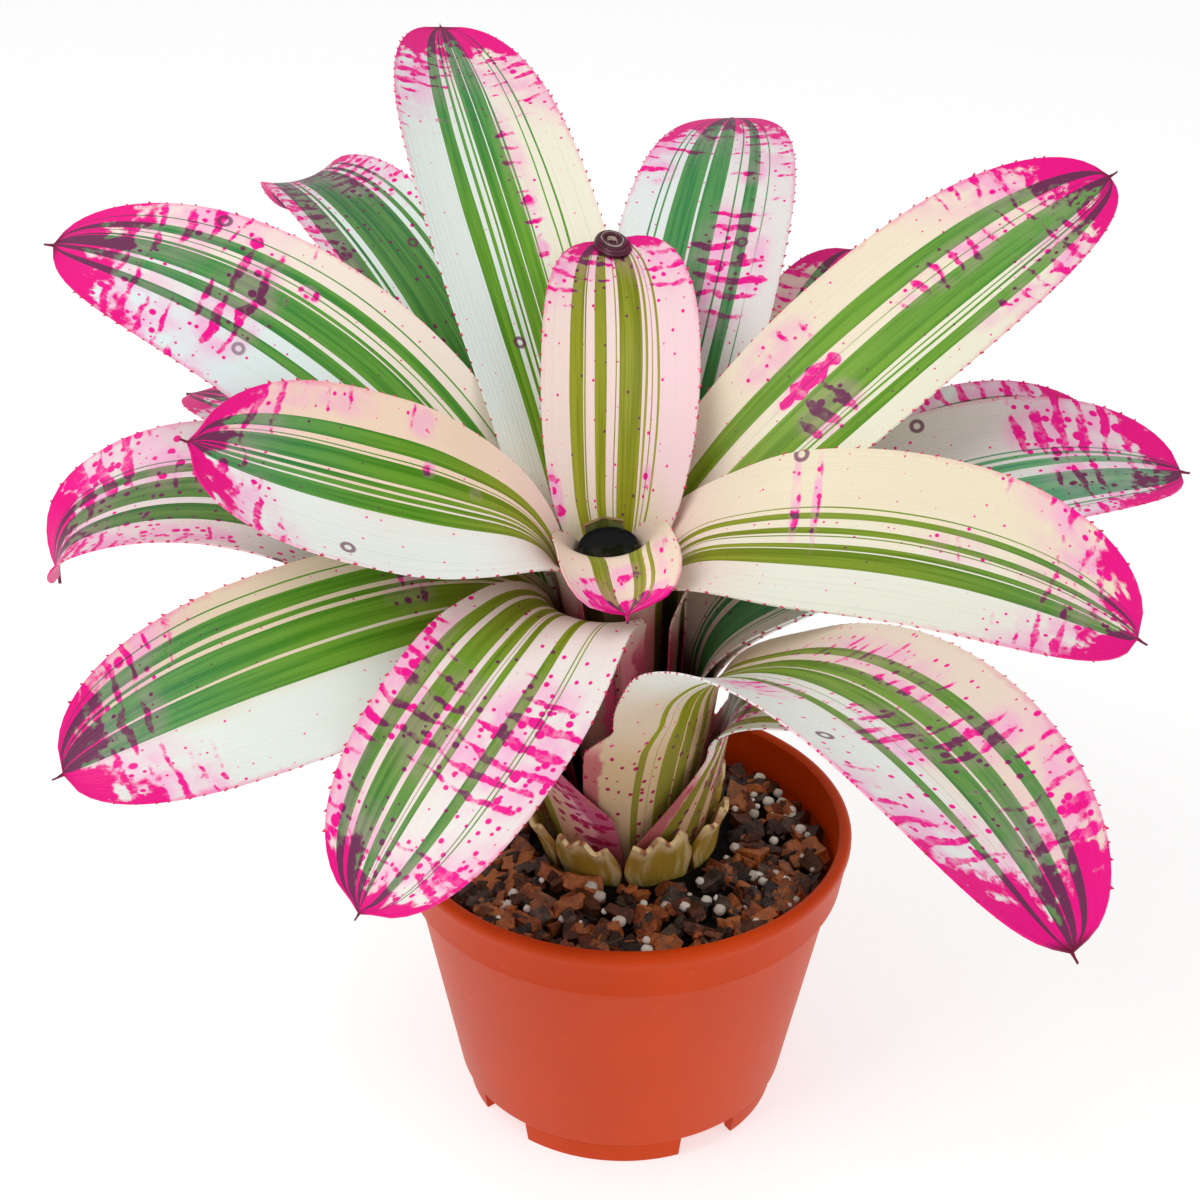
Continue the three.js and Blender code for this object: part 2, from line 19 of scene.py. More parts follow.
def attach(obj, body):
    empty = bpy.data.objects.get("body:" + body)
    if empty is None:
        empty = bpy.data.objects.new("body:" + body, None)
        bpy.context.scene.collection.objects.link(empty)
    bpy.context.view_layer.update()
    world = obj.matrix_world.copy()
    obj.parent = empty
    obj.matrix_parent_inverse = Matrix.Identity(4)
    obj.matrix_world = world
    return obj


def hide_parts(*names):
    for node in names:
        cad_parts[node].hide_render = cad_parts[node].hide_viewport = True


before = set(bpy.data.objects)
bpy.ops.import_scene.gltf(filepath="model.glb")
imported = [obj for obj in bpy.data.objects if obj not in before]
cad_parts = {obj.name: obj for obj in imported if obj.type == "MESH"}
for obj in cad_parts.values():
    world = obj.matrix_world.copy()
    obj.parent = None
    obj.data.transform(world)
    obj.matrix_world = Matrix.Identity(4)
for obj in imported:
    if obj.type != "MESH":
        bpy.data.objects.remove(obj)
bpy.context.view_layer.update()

log = logging.getLogger("potted_neoregelia")

MM = 0.001
Colour = tuple[float, float, float]
Profile = list[tuple[float, float]]
Piece = bpy.types.Object
Node = bpy.types.Node
Socket = bpy.types.NodeSocket
Material = bpy.types.Material


def tint(red: int, green: int, blue: int) -> Colour:
    """Scene colour of a screen colour.

    Args:
        red: Screen value from 0 to 255.
        green: Screen value from 0 to 255.
        blue: Screen value from 0 to 255.

    Returns:
        The colour as Blender's sockets take it.
    """
    shares = (channel / 255 for channel in (red, green, blue))
    return tuple(c / 12.92 if c <= 0.04045 else ((c + 0.055) / 1.055) ** 2.4 for c in shares)


COOL_WHITE = tint(230, 240, 234)
WARM_WHITE = tint(243, 238, 222)
CREAM = tint(240, 228, 194)
ROSE = tint(246, 212, 206)
TAN = tint(220, 192, 156)
# Reddish brown of the inner sheaths, darkened as painted shade of the gaps deep in the rosette.
SHADED_SHEATH = tint(112, 38, 44)
BLUSHED = tint(200, 72, 108)
OLIVE = tint(144, 144, 8)
GRASS = tint(84, 148, 10)
TEAL = tint(50, 142, 80)
JADE = tint(88, 166, 122)


class Slot(Enum):
    """Material slots of the record."""

    POT = "pot"
    MIX = "mix"
    WATER = "water"
    LEAF = "leaf"
    STUMP = "stump"


# Making and finishing meshes


def clear_selection() -> None:
    """Leaves object mode with nothing selected."""
    if bpy.context.object and bpy.context.object.mode != "OBJECT":
        bpy.ops.object.mode_set(mode="OBJECT")
    bpy.ops.object.select_all(action="DESELECT")


def take(piece: Piece) -> None:
    """Makes a piece the only selected and the active one.

    Args:
        piece: The object to select.
    """
    clear_selection()
    piece.select_set(True)
    bpy.context.view_layer.objects.active = piece


@contextmanager
def editing(piece: Piece) -> Iterator[None]:
    """Edit mode on one piece with all of it selected.

    Args:
        piece: The object to edit.

    Returns:
        A context that goes back to object mode at its end.
    """
    take(piece)
    bpy.ops.object.mode_set(mode="EDIT")
    bpy.ops.mesh.select_all(action="SELECT")
    yield
    bpy.ops.object.mode_set(mode="OBJECT")


def apply_modifier(piece: Piece, kind: str, **settings: object) -> None:
    """Adds one modifier and applies it.

    Args:
        piece: The object it works on.
        kind: Blender's name of the modifier.
        **settings: The modifier's values.
    """
    take(piece)
    bpy.ops.object.modifier_add(type=kind)
    modifier = piece.modifiers[-1]
    for name, value in settings.items():
        setattr(modifier, name, value)
    bpy.ops.object.modifier_apply(modifier=modifier.name)


def spin_profile(name: str, profile: Profile, sides: int) -> Piece:
    """Round piece about the vertical axis.

    Args:
        name: Name of the new object.
        profile: Radius and height of each point, in millimetres, from axis to axis.
        sides: Number of sides of the turned shape.

    Returns:
        The closed piece.
    """
    clear_selection()
    bpy.ops.mesh.primitive_plane_add(size=MM)
    piece = bpy.context.object
    piece.name = name
    with editing(piece):
        bpy.ops.mesh.merge(type="CENTER")
        radius, height = profile[0]
        bpy.ops.transform.translate(value=(radius * MM, 0, height * MM))
        for (r0, z0), (r1, z1) in zip(profile, profile[1:]):
            step = ((r1 - r0) * MM, 0, (z1 - z0) * MM)
            bpy.ops.mesh.extrude_region_move(TRANSFORM_OT_translate={"value": step})
        bpy.ops.mesh.select_all(action="SELECT")
        bpy.ops.mesh.spin(steps=sides, angle=math.tau, center=(0, 0, 0), axis=(0, 0, 1))
        bpy.ops.mesh.select_all(action="SELECT")
        bpy.ops.mesh.remove_doubles(threshold=0.01 * MM)
        bpy.ops.mesh.normals_make_consistent(inside=False)
    return piece


def cut_away(piece: Piece, cutters: Sequence[Piece]) -> None:
    """Cuts shapes out of a piece and deletes them.

    Args:
        piece: The object that is cut.
        cutters: The shapes to take away.
    """
    for cutter in cutters:
        apply_modifier(piece, "BOOLEAN", operation="DIFFERENCE", solver="EXACT", object=cutter)
        bpy.data.objects.remove(cutter)


def places_of(mesh: bpy.types.Mesh) -> np.ndarray:
    """Places of a mesh's vertices, one row of three for each."""
    return np.array([vertex.co for vertex in mesh.vertices])


def write_values(mesh: bpy.types.Mesh, name: str, values: np.ndarray) -> None:
    """Gives every vertex a number or a vector of its own, which materials read.

    Args:
        mesh: The mesh.
        name: Name of the point attribute.
        values: One number or one row of three for each vertex.
    """
    kind, key = ("FLOAT", "value") if values.ndim == 1 else ("FLOAT_VECTOR", "vector")
    attribute = mesh.attributes.new(name, kind, "POINT")
    attribute.data.foreach_set(key, values.astype(np.float32).ravel())


def add_flat_grid(name: str, columns: int, rows: int) -> tuple[Piece, np.ndarray, np.ndarray]:
    """Flat grid that is bent into a leaf.

    Args:
        name: Name of the new object.
        columns: Faces across.
        rows: Faces along.

    Returns:
        The grid, and each vertex's place across, from -1 to 1, and along, from 0 to 1.
    """
    clear_selection()
    bpy.ops.mesh.primitive_grid_add(
        x_subdivisions=columns, y_subdivisions=rows, size=2, calc_uvs=False
    )
    piece = bpy.context.object
    piece.name = name
    flat = places_of(piece.data)
    return piece, flat[:, 0], (flat[:, 1] + 1) / 2


def bend_and_thicken(
    piece: Piece, points: np.ndarray, weights: np.ndarray, thickness: float, thinnest: float
) -> None:
    """Moves a grid's vertices to their places and gives the grid its thickness.

    Args:
        piece: The flat grid.
        points: Places of its vertices, in metres.
        weights: 1 where the piece is thickest and 0 where it is thinnest.
        thickness: The greatest thickness.
        thinnest: The least thickness as a share of the greatest one.
    """
    piece.data.vertices.foreach_set("co", points.astype(np.float32).ravel())
    group = piece.vertex_groups.new(name="thick")
    for index, weight in enumerate(weights):
        group.add([index], float(weight), "REPLACE")
    apply_modifier(
        piece,
        "SOLIDIFY",
        thickness=thickness * MM,
        offset=0.0,
        vertex_group="thick",
        thickness_vertex_group=thinnest,
    )


def scatter(name: str, template: bpy.types.Mesh, places: Sequence[Matrix]) -> Piece:
    """One piece made of many copies of a small mesh, with a value of its own for each copy.

    Args:
        name: Name of the new object.
        template: Mesh of one copy, in metres.
        places: Where each copy goes.

    Returns:
        The piece, with the point attribute "copy" from 0 to 1.
    """
    corners = places_of(template)
    faces = [tuple(face.vertices) for face in template.polygons]
    points, loops = [], []
    for number, place in enumerate(places):
        turned = np.array(place.to_3x3())
        points.append(corners @ turned.T + np.array(place.translation))
        loops += [tuple(index + number * len(corners) for index in face) for face in faces]
    made = bpy.data.meshes.new(name)
    made.from_pydata(np.concatenate(points).tolist(), [], loops)
    draw = np.random.default_rng(len(places)).random(len(places))
    write_values(made, "copy", np.repeat(draw, len(corners)))
    piece = bpy.data.objects.new(name, made)
    bpy.context.scene.collection.objects.link(piece)
    return piece


def hand_over(piece: Piece, nodes: Sequence[str] = (), smooth: float = 40) -> None:
    """Smooths a finished piece and ties it to the frame.

    Args:
        piece: The finished object.
        nodes: Solids that it stands for.
        smooth: Angle below which edges are smooth.
    """
    take(piece)
    bpy.ops.object.transform_apply(location=True, rotation=True, scale=True)
    bpy.ops.object.shade_smooth_by_angle(angle=math.radians(smooth))
    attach(piece, "root")
    if nodes:
        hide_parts(*nodes)
    log.info("%s: %d faces", piece.name, len(piece.data.polygons))


# Materials


class Sheet:
    """A node tree that is written from left to right."""

    def __init__(self, tree: bpy.types.NodeTree) -> None:
        """Takes the tree to write in."""
        self.tree = tree

    def add(self, kind: str, **settings: object) -> Node:
        """Adds a node.

        Args:
            kind: Blender's name of the node, without ShaderNode.
            **settings: The node's own values.

        Returns:
            The node.
        """
        node = self.tree.nodes.new("ShaderNode" + kind)
        for name, value in settings.items():
            setattr(node, name, value)
        return node

    def feed(self, socket: Socket, value: object) -> None:
        """Joins a socket to another one, or sets its number or colour.

        Args:
            socket: The input.
            value: An output socket, a number, a vector or a colour.
        """
        if isinstance(value, Socket):
            self.tree.links.new(value, socket)
        elif isinstance(value, (int, float)):
            socket.default_value = value
        else:
            wanted = len(socket.default_value)
            socket.default_value = (*value, 1.0)[:wanted]

    def fill(self, node: Node, *values: object, **named: object) -> Node:
        """Feeds a node's inputs.

        Args:
            node: The node.
            *values: Its first inputs, in order.
            **named: Other inputs, with _ for a space.

        Returns:
            The same node.
        """
        for socket, value in zip(node.inputs, values):
            self.feed(socket, value)
        for name, value in named.items():
            self.feed(node.inputs[name.replace("_", " ")], value)
        return node

    def math(self, operation: str, *values: object, clamp: bool = False) -> Socket:
        """Number from one or more numbers.

        Args:
            operation: Blender's name of the sum.
            *values: Its inputs.
            clamp: True to keep the result from 0 to 1.

        Returns:
            The result's socket.
        """
        node = self.add("Math", operation=operation, use_clamp=clamp)
        return self.fill(node, *values).outputs[0]

    def times(self, first: object, second: object, clamp: bool = False) -> Socket:
        """Product of two numbers."""
        return self.math("MULTIPLY", first, second, clamp=clamp)

    def less(self, first: object, second: object) -> Socket:
        """First number less the second one."""
        return self.math("SUBTRACT", first, second)

    def line(self, value: object, slope: object, start: object, clamp: bool = False) -> Socket:
        """Start plus slope times value."""
        return self.math("MULTIPLY_ADD", value, slope, start, clamp=clamp)

    def most(self, largest: object, *others: object) -> object:
        """Largest of some numbers.

        Args:
            largest: The first of them.
            *others: The others, if any.

        Returns:
            The result's socket, or the only number.
        """
        for other in others:
            largest = self.math("MAXIMUM", largest, other)
        return largest

    def blend(self, share: object, first: object, second: object, kind: str = "MIX") -> Socket:
        """Colour between two colours.

        Args:
            share: Share of the second one.
            first: The first colour.
            second: The second colour.
            kind: Blender's name of the way they are mixed.

        Returns:
            The colour's socket.
        """
        node = self.add("Mix", data_type="RGBA", blend_type=kind)
        for number, value in ((0, share), (6, first), (7, second)):
            self.feed(node.inputs[number], value)
        return node.outputs[2]

    def step(self, value: object, low: float, high: float) -> Socket:
        """Smooth rise of a number.

        Args:
            value: The number that is read.
            low: Where the result is 0.
            high: Where it is 1.

        Returns:
            The result's socket.
        """
        node = self.add("MapRange", interpolation_type="SMOOTHSTEP")
        return self.fill(node, value, low, high, 0.0, 1.0).outputs[0]

    def ramp(self, value: object, stops: list[tuple[float, Colour]], sharp: bool = False) -> Socket:
        """Colour read from a row of stops.

        Args:
            value: Place on the row, from 0 to 1.
            stops: Place and colour of each stop, in order.
            sharp: True where each colour holds up to the next stop.

        Returns:
            The colour's socket.
        """
        node = self.add("ValToRGB")
        node.color_ramp.interpolation = "CONSTANT" if sharp else "LINEAR"
        elements = node.color_ramp.elements
        elements[0].position, elements[1].position = stops[0][0], stops[-1][0]
        elements[0].color, elements[1].color = (*stops[0][1], 1), (*stops[-1][1], 1)
        for place, colour in stops[1:-1]:
            elements.new(place).color = (*colour, 1)
        return self.fill(node, value).outputs[0]

    def vector(self, x: object, y: object, z: object) -> Socket:
        """Vector from three numbers."""
        return self.fill(self.add("CombineXYZ"), x, y, z).outputs[0]

    def parts(self, vector: object) -> Sequence[Socket]:
        """The three numbers of a vector."""
        return self.fill(self.add("SeparateXYZ"), vector).outputs

    def vector_math(self, operation: str, *vectors: object) -> Node:
        """Sum on vectors, by Blender's name of it."""
        return self.fill(self.add("VectorMath", operation=operation), *vectors)

    def noise(self, vector: object, scale: float, detail: float = 2, rough: float = 0.5) -> Socket:
        """Soft noise about 0.5.

        Args:
            vector: Where it is read.
            scale: How fine it is.
            detail: Number of finer layers.
            rough: Strength of the finer layers.

        Returns:
            The number's socket.
        """
        node = self.add("TexNoise")
        self.fill(node, Vector=vector, Scale=scale, Detail=detail, Roughness=rough)
        return node.outputs[0]

    def about_zero(self, value: object) -> Socket:
        """Noise moved to lie about 0."""
        return self.less(value, 0.5)

    def scattered(self, vector: object, scale: float) -> Node:
        """Points scattered over a surface, each with a draw of its own.

        Args:
            vector: Where it is read.
            scale: How close the points are.

        Returns:
            The node, with the distance to the nearest point and that point's colour.
        """
        return self.fill(self.add("TexVoronoi", voronoi_dimensions="2D"), Vector=vector, Scale=scale)

    def round_marks(self, points: Node, many: object, size: float) -> Socket:
        """Round marks of many sizes about some of the scattered points.

        Args:
            points: The scattered points.
            many: Share of the points that have a mark.
            size: Reach of the largest mark, where 1 is about the points' spacing.

        Returns:
            The mask's socket.
        """
        draw = self.parts(points.outputs["Color"])[0]
        reach = self.times(self.less(self.math("ADD", draw, many), 1.0), size)
        return self.times(self.less(reach, points.outputs["Distance"]), 16.0, clamp=True)

    def attribute(self, name: str) -> Sequence[Socket]:
        """Outputs that read an attribute of the mesh."""
        return self.add("Attribute", attribute_name=name).outputs

    def place(self) -> Socket:
        """Place on the object, in metres."""
        return self.add("TexCoord").outputs["Object"]

    def bump(self, height: object, distance: float, strength: float = 1.0) -> Socket:
        """Normal of a relief.

        Args:
            height: Height from 0 to 1.
            distance: What 1 stands for.
            strength: Share of it that shows.

        Returns:
            The normal's socket.
        """
        node = self.add("Bump")
        self.fill(node, Strength=strength, Distance=distance * MM, Height=height)
        return node.outputs[0]

    def group(self, name: str, **values: object) -> Sequence[Socket]:
        """Places a shared node group.

        Args:
            name: The group's name.
            **values: Its inputs, with _ for a space.

        Returns:
            The group's outputs.
        """
        node = self.add("Group")
        node.node_tree = bpy.data.node_groups[name]
        return self.fill(node, **values).outputs


def new_group(
    name: str, inputs: dict[str, str], outputs: dict[str, str]
) -> tuple[Sheet, Sequence[Socket], Sequence[Socket]]:
    """Starts a shared node group.

    Args:
        name: The group's name.
        inputs: Kind of each named input.
        outputs: Kind of each named output.

    Returns:
        The sheet to write in, the inputs' sockets and the outputs' sockets, by name.
    """
    tree = bpy.data.node_groups.new(name, "ShaderNodeTree")
    for direction, sockets in (("INPUT", inputs), ("OUTPUT", outputs)):
        for label, kind in sockets.items():
            tree.interface.new_socket(label, in_out=direction, socket_type="NodeSocket" + kind)
    given = tree.nodes.new("NodeGroupInput").outputs
    wanted = tree.nodes.new("NodeGroupOutput").inputs
    return Sheet(tree), given, wanted


def new_material(name: str) -> tuple[Material, Sheet, Node]:
    """Starts a material.

    Args:
        name: The material's name.

    Returns:
        The material, its sheet and its shader.
    """
    made = bpy.data.materials.new(name)
    made.use_nodes = True
    return made, Sheet(made.node_tree), made.node_tree.nodes["Principled BSDF"]


@dataclass(frozen=True)
class BladePatterns:
    """Node groups that all leaves share.

    They read a blade's grid: across from -1 to 1, along in units of 100 mm, and its share from 0 at
    the blade's foot to 1 at its tip, which is below 0 in the sheath. half_blade is about half a
    blade's width in the unit of along, which makes a pattern as fine across as it is along.
    """

    half_blade: float = 0.27
    fine_lines: float = 22.0
    vein_lines: float = 46.0
    green_lines: float = 11.0
    streaks: float = 97.0
    small_dots: float = 25.0
    large_dots: float = 15.0
    rings: float = 4.6
    ring_radius: float = 0.07
    ring_width: float = 0.035
    tip_from: float = 0.895

    def build(self) -> None:
        """Makes all of the groups."""
        self.make_lines()
        self.make_tones()
        self.make_patch()
        self.make_marks()

    def make_lines(self) -> None:
        """Makes the group of the fine lines along a blade."""
        sheet, given, wanted = new_group(
            "blade_lines",
            {"Grid": "Vector", "Seed": "Float"},
            dict.fromkeys(("Across", "Fine", "Veins"), "Float"),
        )
        across, along, _ = sheet.parts(given["Grid"])
        seed = given["Seed"]
        drift = sheet.noise(sheet.vector(sheet.times(across, 4.0), along, seed), 1.6, 1)
        shifted = sheet.line(sheet.about_zero(drift), 0.05, across)
        sheet.feed(wanted["Across"], sheet.line(shifted, 0.5, 0.5))
        slow = sheet.times(along, 0.55)
        fine = sheet.vector(sheet.times(across, self.fine_lines), slow, seed)
        sheet.feed(wanted["Fine"], sheet.noise(fine, 1.0, 3, 0.6))
        veins = sheet.vector(sheet.times(across, self.vein_lines), slow, seed)
        sheet.feed(wanted["Veins"], sheet.noise(veins, 1.0, 1))

    def make_tones(self) -> None:
        """Makes the group of a blade's pale ground and of its greens."""
        colours = ("Plus side", "Minus side", "Foot", "Low green", "Middle green", "High green")
        sheet, given, wanted = new_group(
            "blade_tones",
            {"Grid": "Vector", "Seed": "Float", "Fine": "Float", **dict.fromkeys(colours, "Color")},
            {"Pale": "Color", "Green": "Color"},
        )
        across, along, share = sheet.parts(given["Grid"])
        seed = given["Seed"]
        cloud = sheet.noise(sheet.vector(across, along, sheet.math("ADD", seed, 7.0)), 2.4, 2)
        swayed = sheet.line(sheet.about_zero(cloud), 1.2, across)
        sides = sheet.blend(sheet.step(swayed, -0.45, 0.45), given["Minus side"], given["Plus side"])
        near_foot = sheet.step(sheet.line(cloud, -0.15, share), 0.22, -0.10)
        pale = sheet.blend(sheet.times(near_foot, 0.8), sides, given["Foot"])
        tinged = sheet.times(sheet.step(given["Fine"], 0.56, 0.72), 0.22)
        sheet.feed(wanted["Pale"], sheet.blend(tinged, pale, tint(206, 216, 178)))

        lower, middle, upper = (given[name] for name in colours[3:])
        lower_half = sheet.blend(sheet.step(share, 0.02, 0.42), lower, middle)
        green = sheet.blend(sheet.step(share, 0.40, 0.90), lower_half, upper)
        line_place = sheet.vector(sheet.times(across, self.green_lines), along, seed)
        lines = sheet.noise(line_place, 1.0, 3, 0.7)
        darker = sheet.blend(0.6, green, sheet.blend(1.0, green, (0.50, 0.62, 0.66), "MULTIPLY"))
        lighter = sheet.blend(0.10, green, tint(214, 224, 120))
        sheet.feed(wanted["Green"], sheet.blend(sheet.step(lines, 0.36, 0.60), darker, lighter))

    def make_patch(self) -> None:
        """Makes the group that tells how near a place is to a patch's centre."""
        sheet, given, wanted = new_group(
            "blush_patch",
            {**dict.fromkeys(("Grid", "Centre", "Size"), "Vector"), "Strength": "Float"},
            {"Amount": "Float"},
        )
        away = sheet.vector_math("SUBTRACT", given["Grid"], given["Centre"]).outputs[0]
        scaled = sheet.vector_math("DIVIDE", away, given["Size"]).outputs[0]
        near = sheet.step(sheet.vector_math("LENGTH", scaled).outputs["Value"], 1.25, 0.35)
        sheet.feed(wanted["Amount"], sheet.times(near, given["Strength"]))

    def make_marks(self) -> None:
        """Makes the group of pink marks: streaks, dots, margin, haze, solid tip and rings."""
        sheet, given, wanted = new_group(
            "blush_marks",
            {"Grid": "Vector", **dict.fromkeys(("Seed", "Amount", "Wash", "Dots", "Rim"), "Float")},
            dict.fromkeys(("Mask", "Haze", "Tip", "Ring"), "Float"),
        )
        across, along, share = sheet.parts(given["Grid"])
        seed = given["Seed"]
        even = sheet.vector(sheet.times(across, self.half_blade), along, seed)
        islands = sheet.noise(even, 10.0, 2)
        blots = sheet.noise(even, 24.0, 4, 0.65)
        finer = sheet.about_zero(blots)
        aside = sheet.math("ABSOLUTE", across)
        toward_tip = sheet.step(sheet.line(aside, 0.14, share), 0.68, 1.0)
        amount = sheet.most(given["Amount"], sheet.times(toward_tip, given["Wash"]))

        # Crosswise streaks, which break up into dabs near the tip
        wobble = sheet.times(sheet.noise(even, 6.0, 2), 9.0)
        wave = sheet.math("SINE", sheet.line(along, self.streaks, wobble))
        chunk_place = sheet.vector(sheet.times(across, 2.2), sheet.times(along, 9.0), seed)
        chunks = sheet.about_zero(sheet.noise(chunk_place, 1.0, 3, 0.6))
        streaky = sheet.line(finer, 0.6, sheet.line(chunks, 1.1, sheet.line(wave, 0.30, 0.47)))
        to_dabs = sheet.less(sheet.line(finer, 1.6, 0.5), streaky)
        rough = sheet.line(to_dabs, sheet.step(share, 0.84, 0.97), streaky)
        over = sheet.less(rough, sheet.line(amount, -0.44, 0.99))
        broken = sheet.line(finer, 2.4, 0.9, clamp=True)
        touched = sheet.times(sheet.step(amount, 0.0, 0.2), broken)
        gathered = sheet.times(sheet.times(over, 10.0, clamp=True), touched)

        # Dots and blobs, of which there are more in the sheath
        deep = sheet.step(share, -0.02, -0.22)
        spread_across = sheet.line(across, self.half_blade, sheet.times(seed, 3.1))
        spread = sheet.vector(spread_across, along, 0.0)
        many_dots = sheet.line(deep, 0.2, sheet.line(amount, 0.4, given["Dots"]))
        dots = sheet.round_marks(sheet.scattered(spread, self.small_dots), many_dots, 0.4)
        many_blobs = sheet.line(amount, 0.7, 0.015)
        blobs = sheet.round_marks(sheet.scattered(spread, self.large_dots), many_blobs, 0.42)

        # Margin, which widens in the sheath
        widened = sheet.times(sheet.times(deep, islands), -0.34)
        margin = sheet.math("ADD", widened, sheet.line(blots, -0.16, 1.03))
        edged = sheet.times(sheet.less(aside, margin), 24.0, clamp=True)
        outer = sheet.times(sheet.step(share, 0.35, 0.9), given["Rim"])
        rim = sheet.times(edged, sheet.most(outer, sheet.times(deep, 0.7)))
        sheet.feed(wanted["Mask"], sheet.most(gathered, rim, dots, blobs))

        # Pale haze round the streaks
        halo = sheet.times(sheet.times(sheet.math("ADD", over, 0.14), 4.0, clamp=True), touched)
        cloudy = sheet.times(sheet.step(amount, 0.10, 0.85), sheet.step(islands, 0.28, 0.62))
        hazy = sheet.most(sheet.times(halo, 0.7), cloudy)
        sheet.feed(wanted["Haze"], sheet.times(hazy, 0.75))

        # Solid tip with a ragged edge
        ragged = sheet.line(finer, 0.14, sheet.line(aside, 0.06, share))
        ragged = sheet.line(sheet.about_zero(islands), 0.26, ragged)
        sheet.feed(wanted["Tip"], sheet.step(ragged, self.tip_from, self.tip_from + 0.035))

        # A few dark rings
        large = sheet.scattered(spread, self.rings)
        chosen = sheet.step(sheet.parts(large.outputs["Color"])[1], 0.92, 0.94)
        off = sheet.math("ABSOLUTE", sheet.less(large.outputs["Distance"], self.ring_radius))
        ring = sheet.times(sheet.less(self.ring_width, off), 60.0, clamp=True)
        sheet.feed(wanted["Ring"], sheet.times(ring, chosen))


@dataclass(frozen=True)
class LeafFinish:
    """Colours and pattern of one leaf.

    A stripe is its two sides, from -1 to 1 across the blade, and how green it is. A patch, where pink
    streaks gather, is its centre across, its centre's share along the blade, half its width, half its
    length and its strength. The plus side is the left one for someone who looks out from the middle
    of the rosette. The greens change from the blade's foot to its tip.
    """

    seed: float
    stripes: tuple[tuple[float, float, float], ...]
    patches: tuple[tuple[float, float, float, float, float], ...]
    wash: float = 1.0
    dots: float = 0.3
    rim: float = 0.5
    plus_side: Colour = COOL_WHITE
    minus_side: Colour = COOL_WHITE
    foot: Colour = ROSE
    greens: tuple[Colour, Colour, Colour] = (OLIVE, GRASS, TEAL)
    # Default sheath colours, reddish brown and dark olive brown, are darkened as painted shade of the
    # deep gaps of the rosette.
    sheath: Colour = SHADED_SHEATH
    sheath_green: Colour = tint(70, 50, 26)
    pink: Colour = tint(246, 4, 146)
    deep_pink: Colour = tint(178, 26, 88)
    plum: Colour = tint(112, 44, 84)
    haze: Colour = tint(252, 164, 214)
    tip: Colour = tint(240, 0, 134)
    point: Colour = tint(118, 14, 56)

    def material(self, name: str) -> Material:
        """Makes the leaf's material.

        Args:
            name: The material's name.

        Returns:
            The material.
        """
        made, sheet, shader = new_material(name)
        grid = sheet.attribute("leaf_grid")["Vector"]
        share = sheet.parts(grid)[2]
        lines = sheet.group("blade_lines", Grid=grid, Seed=self.seed)
        stripe = sheet.ramp(lines["Across"], self.stops(), sharp=True)
        broken = sheet.line(sheet.about_zero(lines["Fine"]), 0.9, stripe)
        greenness = sheet.step(broken, 0.38, 0.52)
        sunk = sheet.step(share, 0.02, -0.25)
        base = self.ground(sheet, grid, lines["Fine"], greenness, sunk)
        marks = sheet.group(
            "blush_marks",
            Grid=grid,
            Seed=self.seed,
            Amount=self.gathering(sheet, grid),
            Wash=self.wash,
            Dots=self.dots,
            Rim=self.rim,
        )
        on_pale = sheet.line(greenness, -0.75, 1.0)
        hazed = sheet.blend(sheet.times(marks["Haze"], on_pale), base, self.haze)
        blush = sheet.blend(greenness, sheet.blend(sunk, self.pink, self.deep_pink), self.plum)
        colour = sheet.blend(marks["Mask"], hazed, blush)
        colour = sheet.blend(sheet.times(marks["Ring"], 0.85), colour, self.plum)
        colour = sheet.blend(marks["Tip"], colour, sheet.blend(greenness, self.tip, self.plum))
        colour = sheet.blend(sheet.step(share, 0.968, 0.985), colour, self.point)
        rough = sheet.line(lines["Fine"], 0.2, 0.30)
        relief = sheet.bump(lines["Veins"], 0.3, 0.6)
        sheet.fill(shader, Base_Color=colour, Roughness=rough, Specular_IOR_Level=0.22, Normal=relief)
        return made

    def ground(
        self, sheet: Sheet, grid: Socket, fine: Socket, greenness: Socket, sunk: Socket
    ) -> Socket:
        """Stripes on their pale ground, from the sheath to the tip.

        Args:
            sheet: The material's sheet.
            grid: The blade's grid.
            fine: The fine lines along it.
            greenness: 1 within a stripe.
            sunk: 1 down in the sheath.

        Returns:
            The colour's socket.
        """
        low_green, middle_green, high_green = self.greens
        tones = sheet.group(
            "blade_tones",
            Grid=grid,
            Seed=self.seed,
            Fine=fine,
            Plus_side=self.plus_side,
            Minus_side=self.minus_side,
            Foot=self.foot,
            Low_green=low_green,
            Middle_green=middle_green,
            High_green=high_green,
        )
        blade = sheet.blend(greenness, tones["Pale"], tones["Green"])
        # Down in the sheath the colour turns to the sheath colours, which for most leaves hold painted
        # shade of the deep rosette.
        wrapped = sheet.blend(greenness, self.sheath, self.sheath_green)
        return sheet.blend(sheet.times(sunk, 0.85), blade, wrapped)

    def gathering(self, sheet: Sheet, grid: Socket) -> object:
        """How strongly the pink gathers.

        Args:
            sheet: The material's sheet.
            grid: The blade's grid.

        Returns:
            The number's socket, or 0 where the leaf has no patch.
        """
        amounts = []
        for across, along, half_width, half_length, strength in self.patches:
            centre = (across, 0.0, along)
            size = (half_width, 100.0, half_length)
            near = sheet.group("blush_patch", Grid=grid, Centre=centre, Size=size, Strength=strength)
            amounts.append(near[0])
        return sheet.most(*amounts) if amounts else 0.0

    def stops(self) -> list[tuple[float, Colour]]:
        """Stops of the ramp that holds the stripes.

        Returns:
            Place and grey value of each stop.
        """
        stops = [(0.0, (0.0,) * 3)]
        for one_side, other_side, amount in self.stripes:
            stops += [((one_side + 1) / 2, (amount,) * 3), ((other_side + 1) / 2, (0.0,) * 3)]
        return [*stops, (1.0, (0.0,) * 3)]


